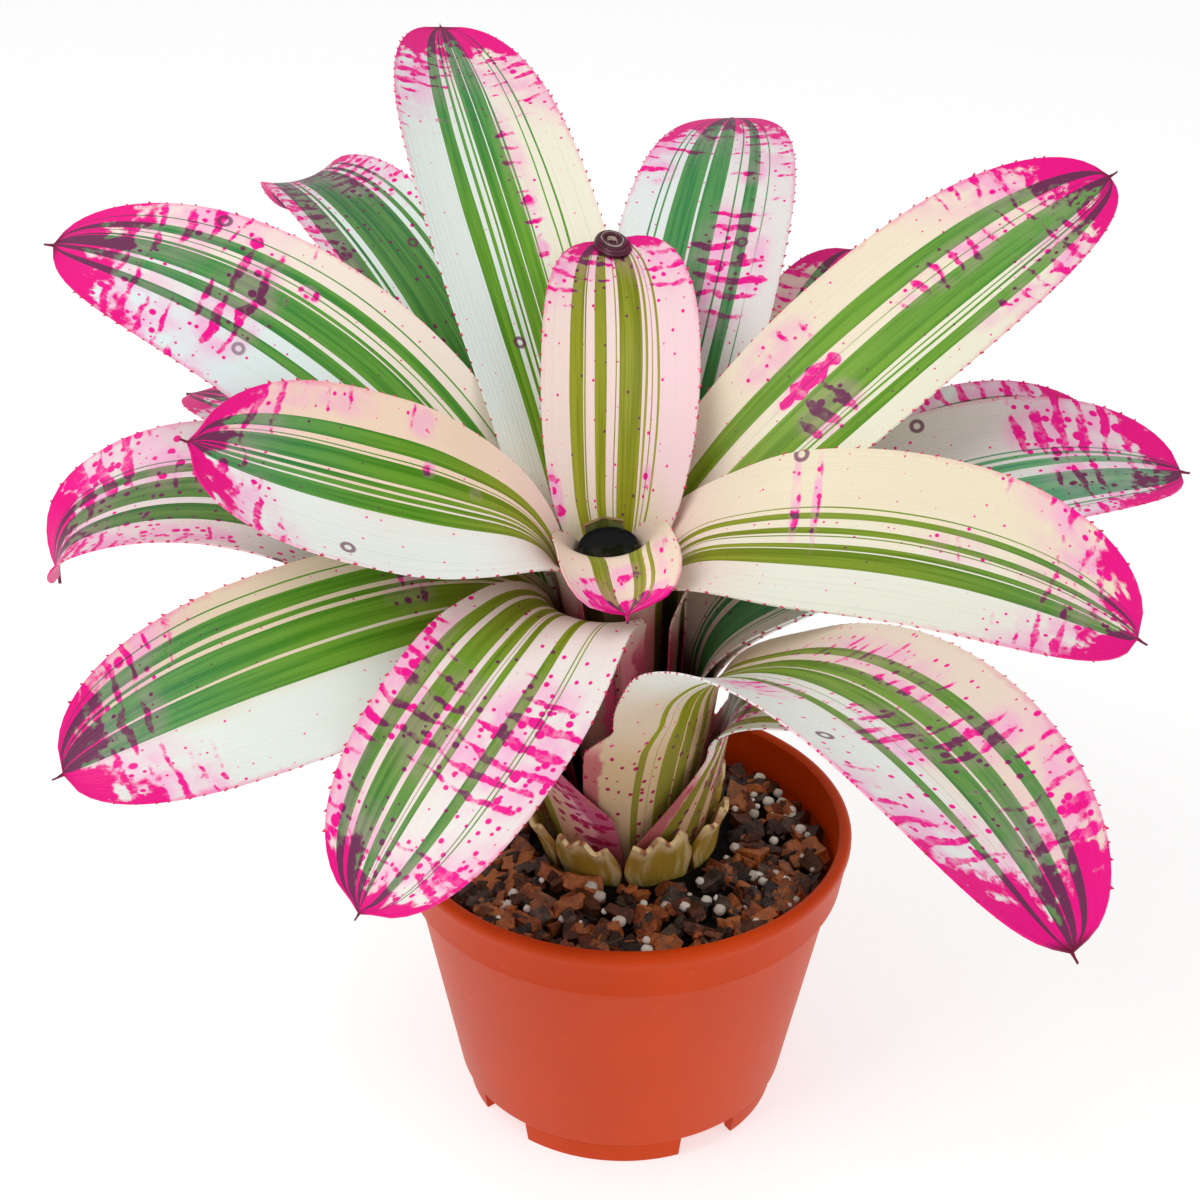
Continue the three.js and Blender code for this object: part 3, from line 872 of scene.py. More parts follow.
@dataclass(frozen=True)
class SpineFinish:
    """Small crimson spines on the leaf margins."""

    root: Colour = tint(232, 40, 104)
    dark: Colour = tint(196, 16, 66)

    def material(self) -> Material:
        """Makes the spines' material.

        Returns:
            The material.
        """
        made, sheet, shader = new_material("leaf_spine")
        colour = sheet.blend(sheet.attribute("copy")["Fac"], self.root, self.dark)
        sheet.fill(shader, Base_Color=colour, Roughness=0.45)
        return made


@dataclass(frozen=True)
class CurlFinish:
    """Dried leaf tip: dark plum with grey bands round its roll."""

    plum: Colour = tint(84, 14, 48)
    grey: Colour = tint(176, 160, 140)
    bands: float = 3.4

    def material(self) -> Material:
        """Makes the dried tip's material.

        Returns:
            The material.
        """
        made, sheet, shader = new_material("dried_tip")
        reach, around, _ = sheet.parts(sheet.attribute("curl_grid")["Vector"])
        torn = sheet.noise(sheet.vector(reach, around, 0.0), 0.9, 2)
        wave = sheet.math("SINE", sheet.line(reach, self.bands, sheet.times(torn, 5.0)))
        banded = sheet.times(sheet.step(wave, 0.45, 0.8), sheet.step(reach, 5.2, 3.8))
        colour = sheet.blend(sheet.times(banded, 0.8), self.plum, self.grey)
        sheet.fill(shader, Base_Color=colour, Roughness=0.35, Normal=sheet.bump(wave, 0.5))
        return made


@dataclass(frozen=True)
class PotFinish:
    """Terracotta-coloured moulded plastic, a little scuffed."""

    body: Colour = tint(206, 66, 0)
    worn: Colour = tint(222, 96, 30)
    shade: Colour = tint(194, 58, 0)

    def material(self) -> Material:
        """Makes the pot's material.

        Returns:
            The material.
        """
        made, sheet, shader = new_material("pot_plastic")
        spot = sheet.place()
        cloud = sheet.noise(spot, 14.0, 3)
        scuff = sheet.step(sheet.noise(spot, 160.0, 4, 0.7), 0.60, 0.78)
        body = sheet.blend(sheet.step(cloud, 0.3, 0.7), self.shade, self.body)
        colour = sheet.blend(sheet.times(scuff, 0.35), body, self.worn)
        rough = sheet.line(cloud, 0.16, 0.34)
        relief = sheet.bump(sheet.noise(spot, 700.0, 2), 0.04)
        sheet.fill(shader, Base_Color=colour, Roughness=rough, Specular_IOR_Level=0.14, Normal=relief)
        return made


@dataclass(frozen=True)
class ScatterFinish:
    """Bark, perlite, soil or stem: a few tones that change from one copy or spot to the next."""

    name: str
    tones: tuple[Colour, ...]
    grain: float
    roughness: float
    relief: float
    shine: float = 0.2

    def material(self) -> Material:
        """Makes the material of a scattered or rough piece.

        Returns:
            The material.
        """
        made, sheet, shader = new_material(self.name)
        grain = sheet.noise(sheet.place(), self.grain, 4, 0.65)
        own = sheet.attribute("copy")["Fac"]
        mixed = sheet.math("ADD", own, sheet.line(grain, 0.7, -0.35), clamp=True)
        last = len(self.tones) - 1
        colour = sheet.ramp(mixed, [(number / last, tone) for number, tone in enumerate(self.tones)])
        rough = sheet.line(grain, 0.15, self.roughness - 0.08)
        sheet.fill(
            shader,
            Base_Color=colour,
            Roughness=rough,
            Specular_IOR_Level=self.shine,
            Normal=sheet.bump(grain, self.relief),
        )
        return made


SOIL_TONES = (tint(8, 5, 4), tint(30, 16, 10), tint(58, 32, 18))
PERLITE_TONES = (tint(196, 190, 180), tint(232, 228, 220), tint(250, 248, 242))
WOOD_TONES = (tint(92, 70, 42), tint(140, 116, 74), tint(172, 150, 104))
BARK_TONES = (
    tint(10, 6, 5), tint(72, 32, 12), tint(128, 62, 22),
    tint(186, 106, 50), tint(88, 68, 58), tint(22, 13, 10),
)
SOIL = ScatterFinish("mix_soil", SOIL_TONES, grain=420.0, roughness=0.9, relief=1.6)
BARK = ScatterFinish("bark", BARK_TONES, grain=300.0, roughness=0.5, relief=1.2, shine=0.5)
PERLITE = ScatterFinish("perlite", PERLITE_TONES, grain=900.0, roughness=0.9, relief=0.3)
STEM_WOOD = ScatterFinish("stem_wood", WOOD_TONES, grain=240.0, roughness=0.8, relief=0.6)


@dataclass(frozen=True)
class WaterFinish:
    """Dark still water in the leaf cup."""

    deep: Colour = tint(6, 8, 7)
    shallow: Colour = tint(20, 22, 12)

    def material(self) -> Material:
        """Makes the water's material.

        Returns:
            The material.
        """
        made, sheet, shader = new_material("cup_water")
        cloud = sheet.noise(sheet.place(), 90.0, 2)
        colour = sheet.blend(sheet.step(cloud, 0.5, 0.8), self.deep, self.shallow)
        sheet.fill(shader, Base_Color=colour, Roughness=0.03, IOR=1.33, Specular_IOR_Level=0.25)
        sheet.fill(shader, Normal=sheet.bump(cloud, 0.4, 0.5))
        return made


@dataclass(frozen=True)
class StumpFinish:
    """Cut leaf foot: yellow-green skin, pale cut, brown torn edge."""

    skin: Colour = tint(204, 172, 62)
    pale: Colour = tint(248, 226, 166)
    brown: Colour = tint(150, 62, 40)

    def material(self) -> Material:
        """Makes the stumps' material.

        Returns:
            The material.
        """
        made, sheet, shader = new_material("stump_skin")
        across, _, share = sheet.parts(sheet.attribute("leaf_grid")["Vector"])
        lines = sheet.noise(sheet.vector(sheet.times(across, 3.5), share, 1.0), 1.2, 3)
        skin = sheet.blend(sheet.step(lines, 0.42, 0.75), self.skin, self.pale)
        edge = sheet.line(lines, 0.5, sheet.most(share, sheet.math("ABSOLUTE", across)))
        torn = sheet.step(edge, 1.22, 1.34)
        topped = sheet.blend(sheet.step(share, 0.72, 0.95), skin, self.pale)
        colour = sheet.blend(torn, topped, self.brown)
        rough = sheet.line(torn, 0.3, 0.45)
        sheet.fill(shader, Base_Color=colour, Roughness=rough, Normal=sheet.bump(lines, 0.6))
        return made


# Where the plant stands and how its sheaths nest, as in the solids

CLEAR = 0.3
RINGS = 11
CORE_RADIUS = 5.4
RING_PITCH = 1.75
STEM_STEP = 2.2
CORE_SLOPE = 0.05
OUTER_SLOPE = 0.18
SOIL_POINT = Vector((1.5, 9, 86))
TILT = 10
LEAN = 4
PLANT = (
    Matrix.Translation(SOIL_POINT)
    @ Matrix.Rotation(math.radians(-LEAN), 4, "Y")
    @ Matrix.Rotation(math.radians(TILT), 4, "X")
)


def smooth_step(value: np.ndarray | float, low: float, high: float) -> np.ndarray | float:
    """Smooth rise from 0 at low to 1 at high."""
    share = np.clip((value - low) / (high - low), 0, 1)
    return share * share * (3 - 2 * share)


def in_part(points: np.ndarray) -> np.ndarray:
    """Points of the plant in the part's frame.

    Args:
        points: Rows of three millimetres in the plant's own frame.

    Returns:
        The same points in the part's frame, in metres.
    """
    place = np.array(PLANT)
    return (points @ place[:3, :3].T + place[:3, 3]) * MM


def stand_in_plant(piece: Piece) -> None:
    """Moves a piece from the part's upright axis to the plant's tilted one."""
    piece.data.transform(Matrix.Scale(MM, 4) @ PLANT @ Matrix.Scale(1 / MM, 4))


def ring_radius(ring: int) -> float:
    """Radius at which the sheaths of a ring stand."""
    return CORE_RADIUS + RING_PITCH * ring


def seat_height(ring: int) -> float:
    """Height of the stem under a ring."""
    return STEM_STEP * (RINGS - ring)


@dataclass(frozen=True)
class LeafSizes:
    """Where one leaf stands and how it bends.

    peel is the height where the blade leaves the sheath, rise and fall are the blade's angles above
    level at its foot and its tip, and wrap is half the angle that the sheath goes round the stem.
    """

    ring: int
    az: float
    peel: float
    length: float
    width: float
    rise: float
    fall: float = 0.0
    bend: float = 1.4
    sweep: float = 0.0
    roll: float = 0.0
    hook: float = 0.0
    wrap: float = 60.0
    skew: float = 0.0
    spread: float = 1.25
    flat: float = 1.0
    neck: float = 0.7
    channel: float = 0.12


class LeafSurface:
    """Middle surface of one leaf, from its wrapped sheath to its open blade."""

    steps = 240
    widest_at = 0.5
    tip_round = 2.6
    short_blade = 10
    long_point = (3.5, 0.8)
    short_point = (CLEAR, 0.1)
    hook_from = 0.86
    sweep_power = 1.5
    peel_span = (-14, 26)
    open_span = (-10, 40)
    roll_span = (-10, 50)

    def __init__(self, sizes: LeafSizes) -> None:
        """Follows the leaf's centre line from its foot to its tip.

        Args:
            sizes: The leaf's sizes.
        """
        self.sizes = sizes
        self.is_short = sizes.length < self.short_blade
        self.mucro, self.mucro_half = self.short_point if self.is_short else self.long_point
        foot = seat_height(sizes.ring) + CLEAR
        self.sheath = sizes.peel - foot
        self.total = self.sheath + sizes.length
        s = np.linspace(0, self.total, self.steps + 1)
        u = np.maximum(0, (s - self.sheath) / sizes.length)
        slope = CORE_SLOPE + (OUTER_SLOPE - CORE_SLOPE) * sizes.ring / RINGS
        curl = sizes.hook * smooth_step(u, self.hook_from, 1)
        blade = np.radians(sizes.rise + (sizes.fall - sizes.rise) * u**sizes.bend + curl)
        peeled = self.rise_past_sheath(s, self.peel_span)
        pitch = math.atan(1 / slope) * (1 - peeled) + blade * peeled
        turn = np.radians(sizes.az + sizes.sweep * u**self.sweep_power)
        along = np.stack([np.cos(pitch) * np.cos(turn), np.cos(pitch) * np.sin(turn), np.sin(pitch)], 1)
        az, radius = math.radians(sizes.az), ring_radius(sizes.ring)
        start = np.array([math.cos(az) * radius, math.sin(az) * radius, foot])
        moves = (along[1:] + along[:-1]) * (self.total / self.steps / 2)
        self.s, self.turn, self.along = s, turn, along
        self.places = start + np.concatenate([np.zeros((1, 3)), np.cumsum(moves, 0)])

    def rise_past_sheath(self, s: np.ndarray, span: tuple[float, float]) -> np.ndarray:
        """Smooth rise from 0 to 1 over a span that is counted from the sheath's end."""
        return smooth_step(s, self.sheath + span[0], self.sheath + span[1])

    def half_width(self, s: np.ndarray) -> np.ndarray:
        """Half the leaf's width.

        Args:
            s: Distances from the foot of the sheath.

        Returns:
            Half the width at each of them.
        """
        sizes = self.sizes
        widest = sizes.width / 2
        neck = sizes.neck * widest
        wrapped = neck + (sizes.spread * widest - neck) * (1 - (s / self.sheath) ** 2)
        u = (s - self.sheath) / sizes.length
        opening = neck + (widest - neck) * np.sin(np.clip(u / self.widest_at, 0, 1) * math.pi / 2)
        past = np.clip((u - self.widest_at) / (1 - self.widest_at), 0, 1)
        closing = widest * np.sqrt(1 - past**self.tip_round)
        half = np.where(s < self.sheath, wrapped, np.where(u < self.widest_at, opening, closing))
        end = self.total + self.mucro
        point = self.mucro_half * np.clip((end - s) / (self.mucro + 2), 0.04, 1)
        return np.maximum(half, point)

    def centre(self, s: np.ndarray) -> tuple[np.ndarray, np.ndarray, np.ndarray]:
        """Centre line at some distances.

        Args:
            s: Distances from the foot, which may go past the tip.

        Returns:
            Places, directions along the leaf and headings.
        """
        read = [np.interp(s, self.s, column) for column in (*self.places.T, *self.along.T)]
        places, along = np.stack(read[:3], 1), np.stack(read[3:], 1)
        along /= np.linalg.norm(along, axis=1, keepdims=True)
        places += along * np.maximum(0, s - self.total)[:, None]
        return places, along, np.interp(s, self.s, self.turn)

    def points(self, s: np.ndarray, v: np.ndarray) -> np.ndarray:
        """Points of the surface in the plant's frame.

        Args:
            s: Distances from the foot of the sheath.
            v: Places across the leaf, from -1 to 1.

        Returns:
            One row of three millimetres for each.
        """
        sizes = self.sizes
        place, along, turn = self.centre(s)
        half = self.half_width(s)
        opened = (sizes.flat * self.rise_past_sheath(s, self.open_span))[:, None]
        roll = (math.radians(sizes.roll) * self.rise_past_sheath(s, self.roll_span))[:, None]
        across = np.stack([-np.sin(turn), np.cos(turn), np.zeros_like(turn)], 1)
        inward = np.cross(along, across)
        rolled_across = across * np.cos(roll) + inward * np.sin(roll)
        rolled_inward = inward * np.cos(roll) - across * np.sin(roll)
        blade = place + rolled_across * (v * half)[:, None]
        blade += rolled_inward * (2 * sizes.channel * v * v * half)[:, None]
        radius = np.hypot(place[:, 0], place[:, 1])
        twist = math.radians(sizes.skew) * (1 - np.minimum(1, s / self.sheath) ** 2)
        angle = np.arctan2(place[:, 1], place[:, 0]) + twist
        angle = angle + v * np.minimum(half / radius, math.radians(sizes.wrap))
        wrapped = np.stack([radius * np.cos(angle), radius * np.sin(angle), place[:, 2]], 1)
        return wrapped * (1 - opened) + blade * opened


@dataclass
class Leaf:
    """One leaf with its spines."""

    name: str
    sizes: LeafSizes
    finish: LeafFinish
    columns: int = 24
    row_length: float = 2.4
    fewest_rows: int = 20
    fine_from: float = 0.85
    thickness: float = 0.95
    thin_rim: float = 0.6
    spine_gap: float = 4.4
    first_spine: float = 0.72
    bare_tip: float = 7
    spine_lean: float = 0.75
    surface: LeafSurface = field(init=False)

    def __post_init__(self) -> None:
        """Works out the leaf's surface."""
        self.surface = LeafSurface(self.sizes)

    def build(self, spine: bpy.types.Mesh, spine_material: Material) -> None:
        """Models the leaf and hands it over.

        Args:
            spine: Mesh of one spine.
            spine_material: Material of the spines.
        """
        blade = self.build_blade()
        blade.data.materials.append(self.finish.material(self.name + "_skin"))
        if not self.surface.is_short:
            spines = scatter(self.name + "_spines", spine, self.spine_places())
            spines.data.materials.append(spine_material)
            take(blade)
            spines.select_set(True)
            bpy.ops.object.join()
        hand_over(blade, [self.name])

    def build_blade(self) -> Piece:
        """Bends a grid into the leaf, with rows that get closer towards its tip.

        Returns:
            The sheath and blade without spines.
        """
        surface = self.surface
        rows = max(self.fewest_rows, round(surface.total / self.row_length))
        blade, v, t = add_flat_grid(self.name + "_skin", self.columns, rows)
        fine = 1 - self.fine_from
        eased = self.fine_from + fine * np.sin((t - self.fine_from) / fine * math.pi / 2)
        s = np.where(t < self.fine_from, t, eased) * (surface.total + surface.mucro)
        past = s - surface.sheath
        blade_length = surface.sizes.length + surface.mucro
        share = np.where(past < 0, past / surface.sheath, past / blade_length)
        write_values(blade.data, "leaf_grid", np.stack([v, past / 100, share], 1))
        points = in_part(surface.points(s, v))
        bend_and_thicken(blade, points, 1 - v * v, self.thickness, self.thin_rim)
        return blade

    def spine_places(self) -> list[Matrix]:
        """Places of the spines along both margins.

        Returns:
            Place, turn and size of each spine.
        """
        surface = self.surface
        draw = random.Random(self.name)
        first = surface.sheath * self.first_spine
        count = round((surface.total - self.bare_tip - first) / self.spine_gap)
        places = []
        for side in (-1.0, 1.0):
            drawn = [first + (k + draw.uniform(-0.25, 0.25)) * self.spine_gap for k in range(count)]
            s = np.array(drawn)
            rim = in_part(surface.points(s, np.full(count, side)))
            inner = in_part(surface.points(s, np.full(count, side * 0.85)))
            ahead = in_part(surface.points(s + 0.5, np.full(count, side)))
            for root, inside, forward in zip(rim, inner, ahead):
                outward = Vector(root - inside).normalized()
                lean = Vector(forward - root).normalized()
                up = (outward + self.spine_lean * lean).normalized()
                flat = outward.cross(lean).normalized()
                size = Matrix.Scale(draw.uniform(0.65, 1.15), 4)
                turned = Matrix((flat, up.cross(flat), up)).transposed().to_4x4()
                places.append(Matrix.Translation(Vector(root)) @ turned @ size)
        return places


@dataclass(frozen=True)
class Spine:
    """Marginal spine: a small flattened cone with its root sunk in the margin."""

    root: float = 0.5
    point: float = 0.08
    length: float = 1.1
    middle: float = 0.2
    sides: int = 6

    def build(self) -> bpy.types.Mesh:
        """Models one spine.

        Returns:
            Its mesh.
        """
        clear_selection()
        bpy.ops.mesh.primitive_cone_add(
            vertices=self.sides,
            radius1=self.root * MM,
            radius2=self.point * MM,
            depth=self.length * MM,
            location=(0, 0, self.middle * MM),
        )
        cone = bpy.context.object
        with editing(cone):
            bpy.ops.transform.resize(value=(0.7, 1.3, 1))
        take(cone)
        bpy.ops.object.transform_apply(location=True)
        mesh = cone.data
        bpy.data.objects.remove(cone)
        return mesh


@dataclass
class TipCurl:
    """Dried tip of a leaf, rolled up into a small knot on the leaf's inner face."""

    leaf: Leaf
    back: float = 6.5
    lift: float = 1.6
    roll_radius: float = 3.3
    roll_half: float = 2.5

    def build(self, finish: CurlFinish) -> None:
        """Makes a squashed ring with its face to the middle of the rosette.

        Args:
            finish: Material of the dried tip.
        """
        surface = self.leaf.surface
        s = surface.total - self.back
        corner = in_part(surface.points(np.array([s, s + 1, s]), np.array([0, 0, 0.2])))
        place, ahead, side = (Vector(spot) for spot in corner)
        up = (ahead - place).normalized()
        across = (side - place).normalized()
        inward = up.cross(across)
        turned = Matrix((across, up, inward)).transposed().to_4x4()
        clear_selection()
        bpy.ops.mesh.primitive_torus_add(
            major_segments=36,
            minor_segments=16,
            major_radius=self.roll_radius,
            minor_radius=self.roll_half,
        )
        curl = bpy.context.object
        curl.name = self.leaf.name + "_curl"
        spots = places_of(curl.data)
        reach = np.hypot(spots[:, 0], spots[:, 1])
        around = spots[:, 1] / np.maximum(reach, 0.1)
        write_values(curl.data, "curl_grid", np.stack([reach, around, spots[:, 2]], 1))
        for vertex in curl.data.vertices:
            x, y, z = vertex.co
            vertex.co = Vector((x * 0.95, y * 1.15 + 0.12 * x, z * (1 + 0.06 * y) + 0.1 * x))
        lifted = Matrix.Translation(place + inward * self.lift * MM)
        curl.data.transform(lifted @ turned @ Matrix.Scale(MM, 4))
        curl.data.materials.append(finish.material())
        hand_over(curl, smooth=180)


@dataclass
class NurseryPot:
    """Round moulded pot with a stepped collar, a foot ring and drain holes."""

    height: float = 95.4
    rim_radius: float = 70
    mouth_radius: float = 66
    collar_bottom: float = 78.4
    wall: float = 1.9
    wall_top: float = 65.2
    wall_bottom: float = 52
    foot_height: float = 9
    foot_radius: float = 49.3
    foot_width: float = 3.6
    floor_top: float = 11
    floor_thick: float = 2
    notch_width: float = 20
    notch_angles: tuple[float, ...] = (-137, -56, 37, 126)
    drain_radius: float = 4
    drain_circle: float = 30
    drains: int = 6
    sides: int = 144

    def profile(self) -> Profile:
        """Outline of the pot's wall.

        Returns:
            Its points from the middle of the underside round to the middle of the floor.
        """
        top, low, foot, step = self.wall_top, self.wall_bottom, self.foot_radius, self.foot_height
        rim, mouth, height, band = self.rim_radius, self.mouth_radius, self.height, self.collar_bottom
        within, floor = foot - self.foot_width, self.floor_top
        under = floor - self.floor_thick
        underside = [(0, under), (within - 0.6, under), (within, under - 0.6), (within, 0.4)]
        ring = [(within + 0.4, 0), (foot - 0.7, 0), (foot - 0.15, 0.2), (foot, 0.7)]
        wall = [(low - 1.5, step - 0.8), (low - 0.5, step - 0.3), (low, step + 0.5)]
        wall += [(top - 0.1, band - 0.9), (top + 0.3, band - 0.3)]
        collar = [(rim - 3.0, band + 0.2), (rim - 2.4, band + 0.8)]
        lip = [(rim - 0.7, height - 5.2), (rim - 0.4, height - 4.2), (rim, height - 3.2)]
        lip += [(rim, height - 1.8), (rim - 0.3, height - 0.9), (rim - 1.0, height - 0.3)]
        lip += [(rim - 2.0, height), (mouth + 0.9, height - 0.3), (mouth + 0.2, height - 1.0)]
        inside = [(mouth, height - 2.2), (top - 0.1, band + 1.8), (top - 0.5, band + 0.8)]
        inside += [(top - self.wall, band - 0.4), (low - self.wall + 0.5, floor + 2)]
        inside += [(low - self.wall - 1.2, floor), (0, floor)]
        return underside + ring + wall + collar + lip + inside

    def build(self, finish: PotFinish) -> None:
        """Spins the pot's wall, then cuts the foot's notches and the drain holes.

        Args:
            finish: Material of the pot.
        """
        pot = spin_profile("pot_shell", self.profile(), self.sides)
        turns = [math.radians(angle) for angle in self.notch_angles]
        cutters = [self.notch_cutter(turn) for turn in turns]
        cutters += [self.drain_cutter(k * math.tau / self.drains) for k in range(self.drains)]
        cut_away(pot, cutters)
        pot.data.materials.append(finish.material())
        hand_over(pot, ["pot"], smooth=35)

    def notch_cutter(self, turn: float) -> Piece:
        """Block that cuts one notch out of the foot ring.

        Args:
            turn: Where it stands, in radians.

        Returns:
            The block.
        """
        clear_selection()
        spot = self.foot_radius - self.foot_width / 2
        where = (spot * math.cos(turn) * MM, spot * math.sin(turn) * MM, 0)
        bpy.ops.mesh.primitive_cube_add(size=MM, location=where, rotation=(0, 0, turn))
        cutter = bpy.context.object
        with editing(cutter):
            size = (self.foot_width + 8, self.notch_width, 2 * self.foot_height - 1)
            bpy.ops.transform.resize(value=size, orient_type="LOCAL")
        return cutter

    def drain_cutter(self, turn: float) -> Piece:
        """Round bar that cuts one drain hole.

        Args:
            turn: Where it stands, in radians.

        Returns:
            The bar.
        """
        clear_selection()
        circle = self.drain_circle * MM
        bpy.ops.mesh.primitive_cylinder_add(
            vertices=28,
            radius=self.drain_radius * MM,
            depth=20 * MM,
            location=(circle * math.cos(turn), circle * math.sin(turn), 6 * MM),
        )
        return bpy.context.object


@dataclass
class PottingMix:
    """Low mound of bark, dark soil and perlite."""

    pot: NurseryPot
    height: float = 82
    mound: float = 4
    mound_top: float = 18
    mound_slope: float = 40
    bed_under: float = 1.6
    chips: int = 430
    chip_kinds: int = 4
    chip_long: tuple[float, float] = (3.5, 11)
    chip_thick: tuple[float, float] = (2.4, 5.0)
    balls: int = 120
    ball_size: tuple[float, float] = (1.6, 4.0)
    ball_lift: float = 1.2
    band: tuple[float, float] = (16, 60.5)
    foot_radius: float = 32

    def surface(self, radius: float) -> float:
        """Height of the mound at a distance from the pot's axis."""
        share = min(1.0, max(0.0, (radius - self.mound_top) / self.mound_slope))
        return self.height + self.mound * (1 - share * share * (3 - 2 * share))

    def inside(self, height: float) -> float:
        """Radius of the pot's inner wall.

        Args:
            height: Where it is measured.

        Returns:
            The radius.
        """
        pot = self.pot
        share = (height - pot.floor_top) / (pot.collar_bottom - pot.floor_top)
        low, high = pot.wall_bottom - pot.wall + 0.2, pot.wall_top - pot.wall
        return low + (high - low) * share

    def build_bed(self) -> Piece:
        """Spins the body of fine dark mix, roughens its top and cuts out the root's place.

        Returns:
            The bed under the chips.
        """
        floor, shoulder, under = self.pot.floor_top + CLEAR, self.height - 4, self.bed_under
        edge = self.inside(shoulder) - 0.6
        profile = [(0, floor), (self.inside(floor) - 0.8, floor), (edge, shoulder)]
        profile += [(radius, self.surface(radius) - under) for radius in np.linspace(edge - 1, 4, 26)]
        bed = spin_profile("mix_bed", [*profile, (0, self.height + self.mound - under)], 96)
        for vertex in bed.data.vertices:
            if vertex.co.z > (shoulder + 0.5) * MM:
                coarse, fine = noise.noise(vertex.co / (6 * MM)), noise.noise(vertex.co / (2.5 * MM))
                vertex.co.z += (coarse + 0.6 * fine) * 1.3 * MM
        root_profile = [(0, -34), (15, -20), (28, -4), (28.5, 0), (38, 24), (0, 24)]
        root = spin_profile("root_hole", root_profile, 48)
        stand_in_plant(root)
        cut_away(bed, [root])
        return bed

    def spots(self, count: int, seed: int, lift: float) -> list[tuple[Vector, random.Random]]:
        """Places on the mound round the plant's foot.

        Args:
            count: How many.
            seed: Start of the draw.
            lift: Height above the mound.

        Returns:
            Each place with a source of further draws.
        """
        draw = random.Random(seed)
        back = PLANT.inverted()
        nearest, farthest = self.band
        found = []
        while len(found) < count:
            radius = math.sqrt(draw.uniform(nearest**2, farthest**2))
            angle = draw.uniform(0, math.tau)
            height = self.surface(radius) + lift
            spot = Vector((radius * math.cos(angle), radius * math.sin(angle), height))
            local = back @ spot
            if math.hypot(local.x, local.y) > self.foot_radius + 1.5:
                found.append((spot, draw))
        return found

    def build(self) -> None:
        """Models the bed, the bark chips and the perlite."""
        bed = self.build_bed()
        bed.data.materials.append(SOIL.material())
        hand_over(bed, ["potting_mix"], smooth=180)
        self.build_bark()
        self.build_perlite()

    def build_bark(self) -> None:
        """Scatters a few kinds of bark chips, each kind as one piece."""
        skin = BARK.material()
        kinds = [build_chip(seed) for seed in range(self.chip_kinds)]
        spots = self.spots(self.chips, 5, 0.0)
        for number, kind in enumerate(kinds):
            places = []
            for spot, draw in spots[number :: self.chip_kinds]:
                long = draw.uniform(*self.chip_long)
                wide, thick = long * draw.uniform(0.4, 0.8), draw.uniform(*self.chip_thick)
                size = Matrix.Diagonal((long, wide, thick, 1)) @ Matrix.Scale(MM, 4)
                turn = Matrix.Rotation(draw.uniform(0, math.tau), 4, "Z")
                pitch = Matrix.Rotation(draw.uniform(-0.8, 0.8), 4, "X")
                roll = Matrix.Rotation(draw.uniform(-0.6, 0.6), 4, "Y")
                places.append(Matrix.Translation(spot * MM) @ turn @ pitch @ roll @ size)
            chips = scatter(f"bark_chips_{number + 1}", kind, places)
            chips.data.materials.append(skin)
            hand_over(chips, smooth=30)

    def build_perlite(self) -> None:
        """Scatters the white perlite grains as one piece."""
        clear_selection()
        bpy.ops.mesh.primitive_ico_sphere_add(subdivisions=2, radius=0.5)
        ball = bpy.context.object
        draw = random.Random(3)
        for vertex in ball.data.vertices:
            vertex.co *= draw.uniform(0.88, 1.1)
        places = []
        for spot, one in self.spots(self.balls, 9, self.ball_lift):
            size = Matrix.Scale(one.uniform(*self.ball_size) * MM, 4)
            places.append(Matrix.Translation(spot * MM) @ size)
        beads = scatter("perlite_beads", ball.data, places)
        bpy.data.objects.remove(ball)
        beads.data.materials.append(PERLITE.material())
        hand_over(beads, smooth=60)


def build_chip(seed: int) -> bpy.types.Mesh:
    """Mesh of one bark chip, about 1 across.

    Args:
        seed: Start of the draw that makes each kind different.

    Returns:
        The mesh.
    """
    draw = random.Random(seed)
    clear_selection()
    bpy.ops.mesh.primitive_cube_add(size=1)
    chip = bpy.context.object
    with editing(chip):
        bpy.ops.mesh.subdivide(number_cuts=1)
    for vertex in chip.data.vertices:
        vertex.co += Vector(draw.uniform(-0.11, 0.11) for _ in range(3))
        vertex.co.y *= 1 - 0.5 * (vertex.co.x + 0.5) * draw.uniform(0.6, 1)
    sharp = math.radians(35)
    apply_modifier(chip, "BEVEL", width=0.06, segments=1, limit_method="ANGLE", angle_limit=sharp)
    mesh = chip.data
    bpy.data.objects.remove(chip)
    return mesh


@dataclass
class CupWater:
    """Water that stands in the innermost sheaths."""

    top: float = 112
    slack: float = 1.3

    def radius(self, height: float) -> float:
        """Radius of the column of water at a height."""
        return CORE_RADIUS + CORE_SLOPE * (height - seat_height(0)) - self.slack

    def build(self, finish: WaterFinish) -> None:
        """Spins the column of water with its raised edge.

        Args:
            finish: Material of the water.
        """
        bottom = seat_height(0) + CLEAR
        edge, top = self.radius(self.top), self.top
        profile = [(0, bottom), (self.radius(bottom), bottom), (edge, top)]
        profile += [(edge - 0.25, top - 0.1), (edge - 0.8, top - 0.4), (edge - 1.6, top - 0.5)]
        water = spin_profile("cup_water", [*profile, (0, top - 0.5)], 48)
        stand_in_plant(water)
        water.data.materials.append(finish.material())
        hand_over(water, ["tank_water"])


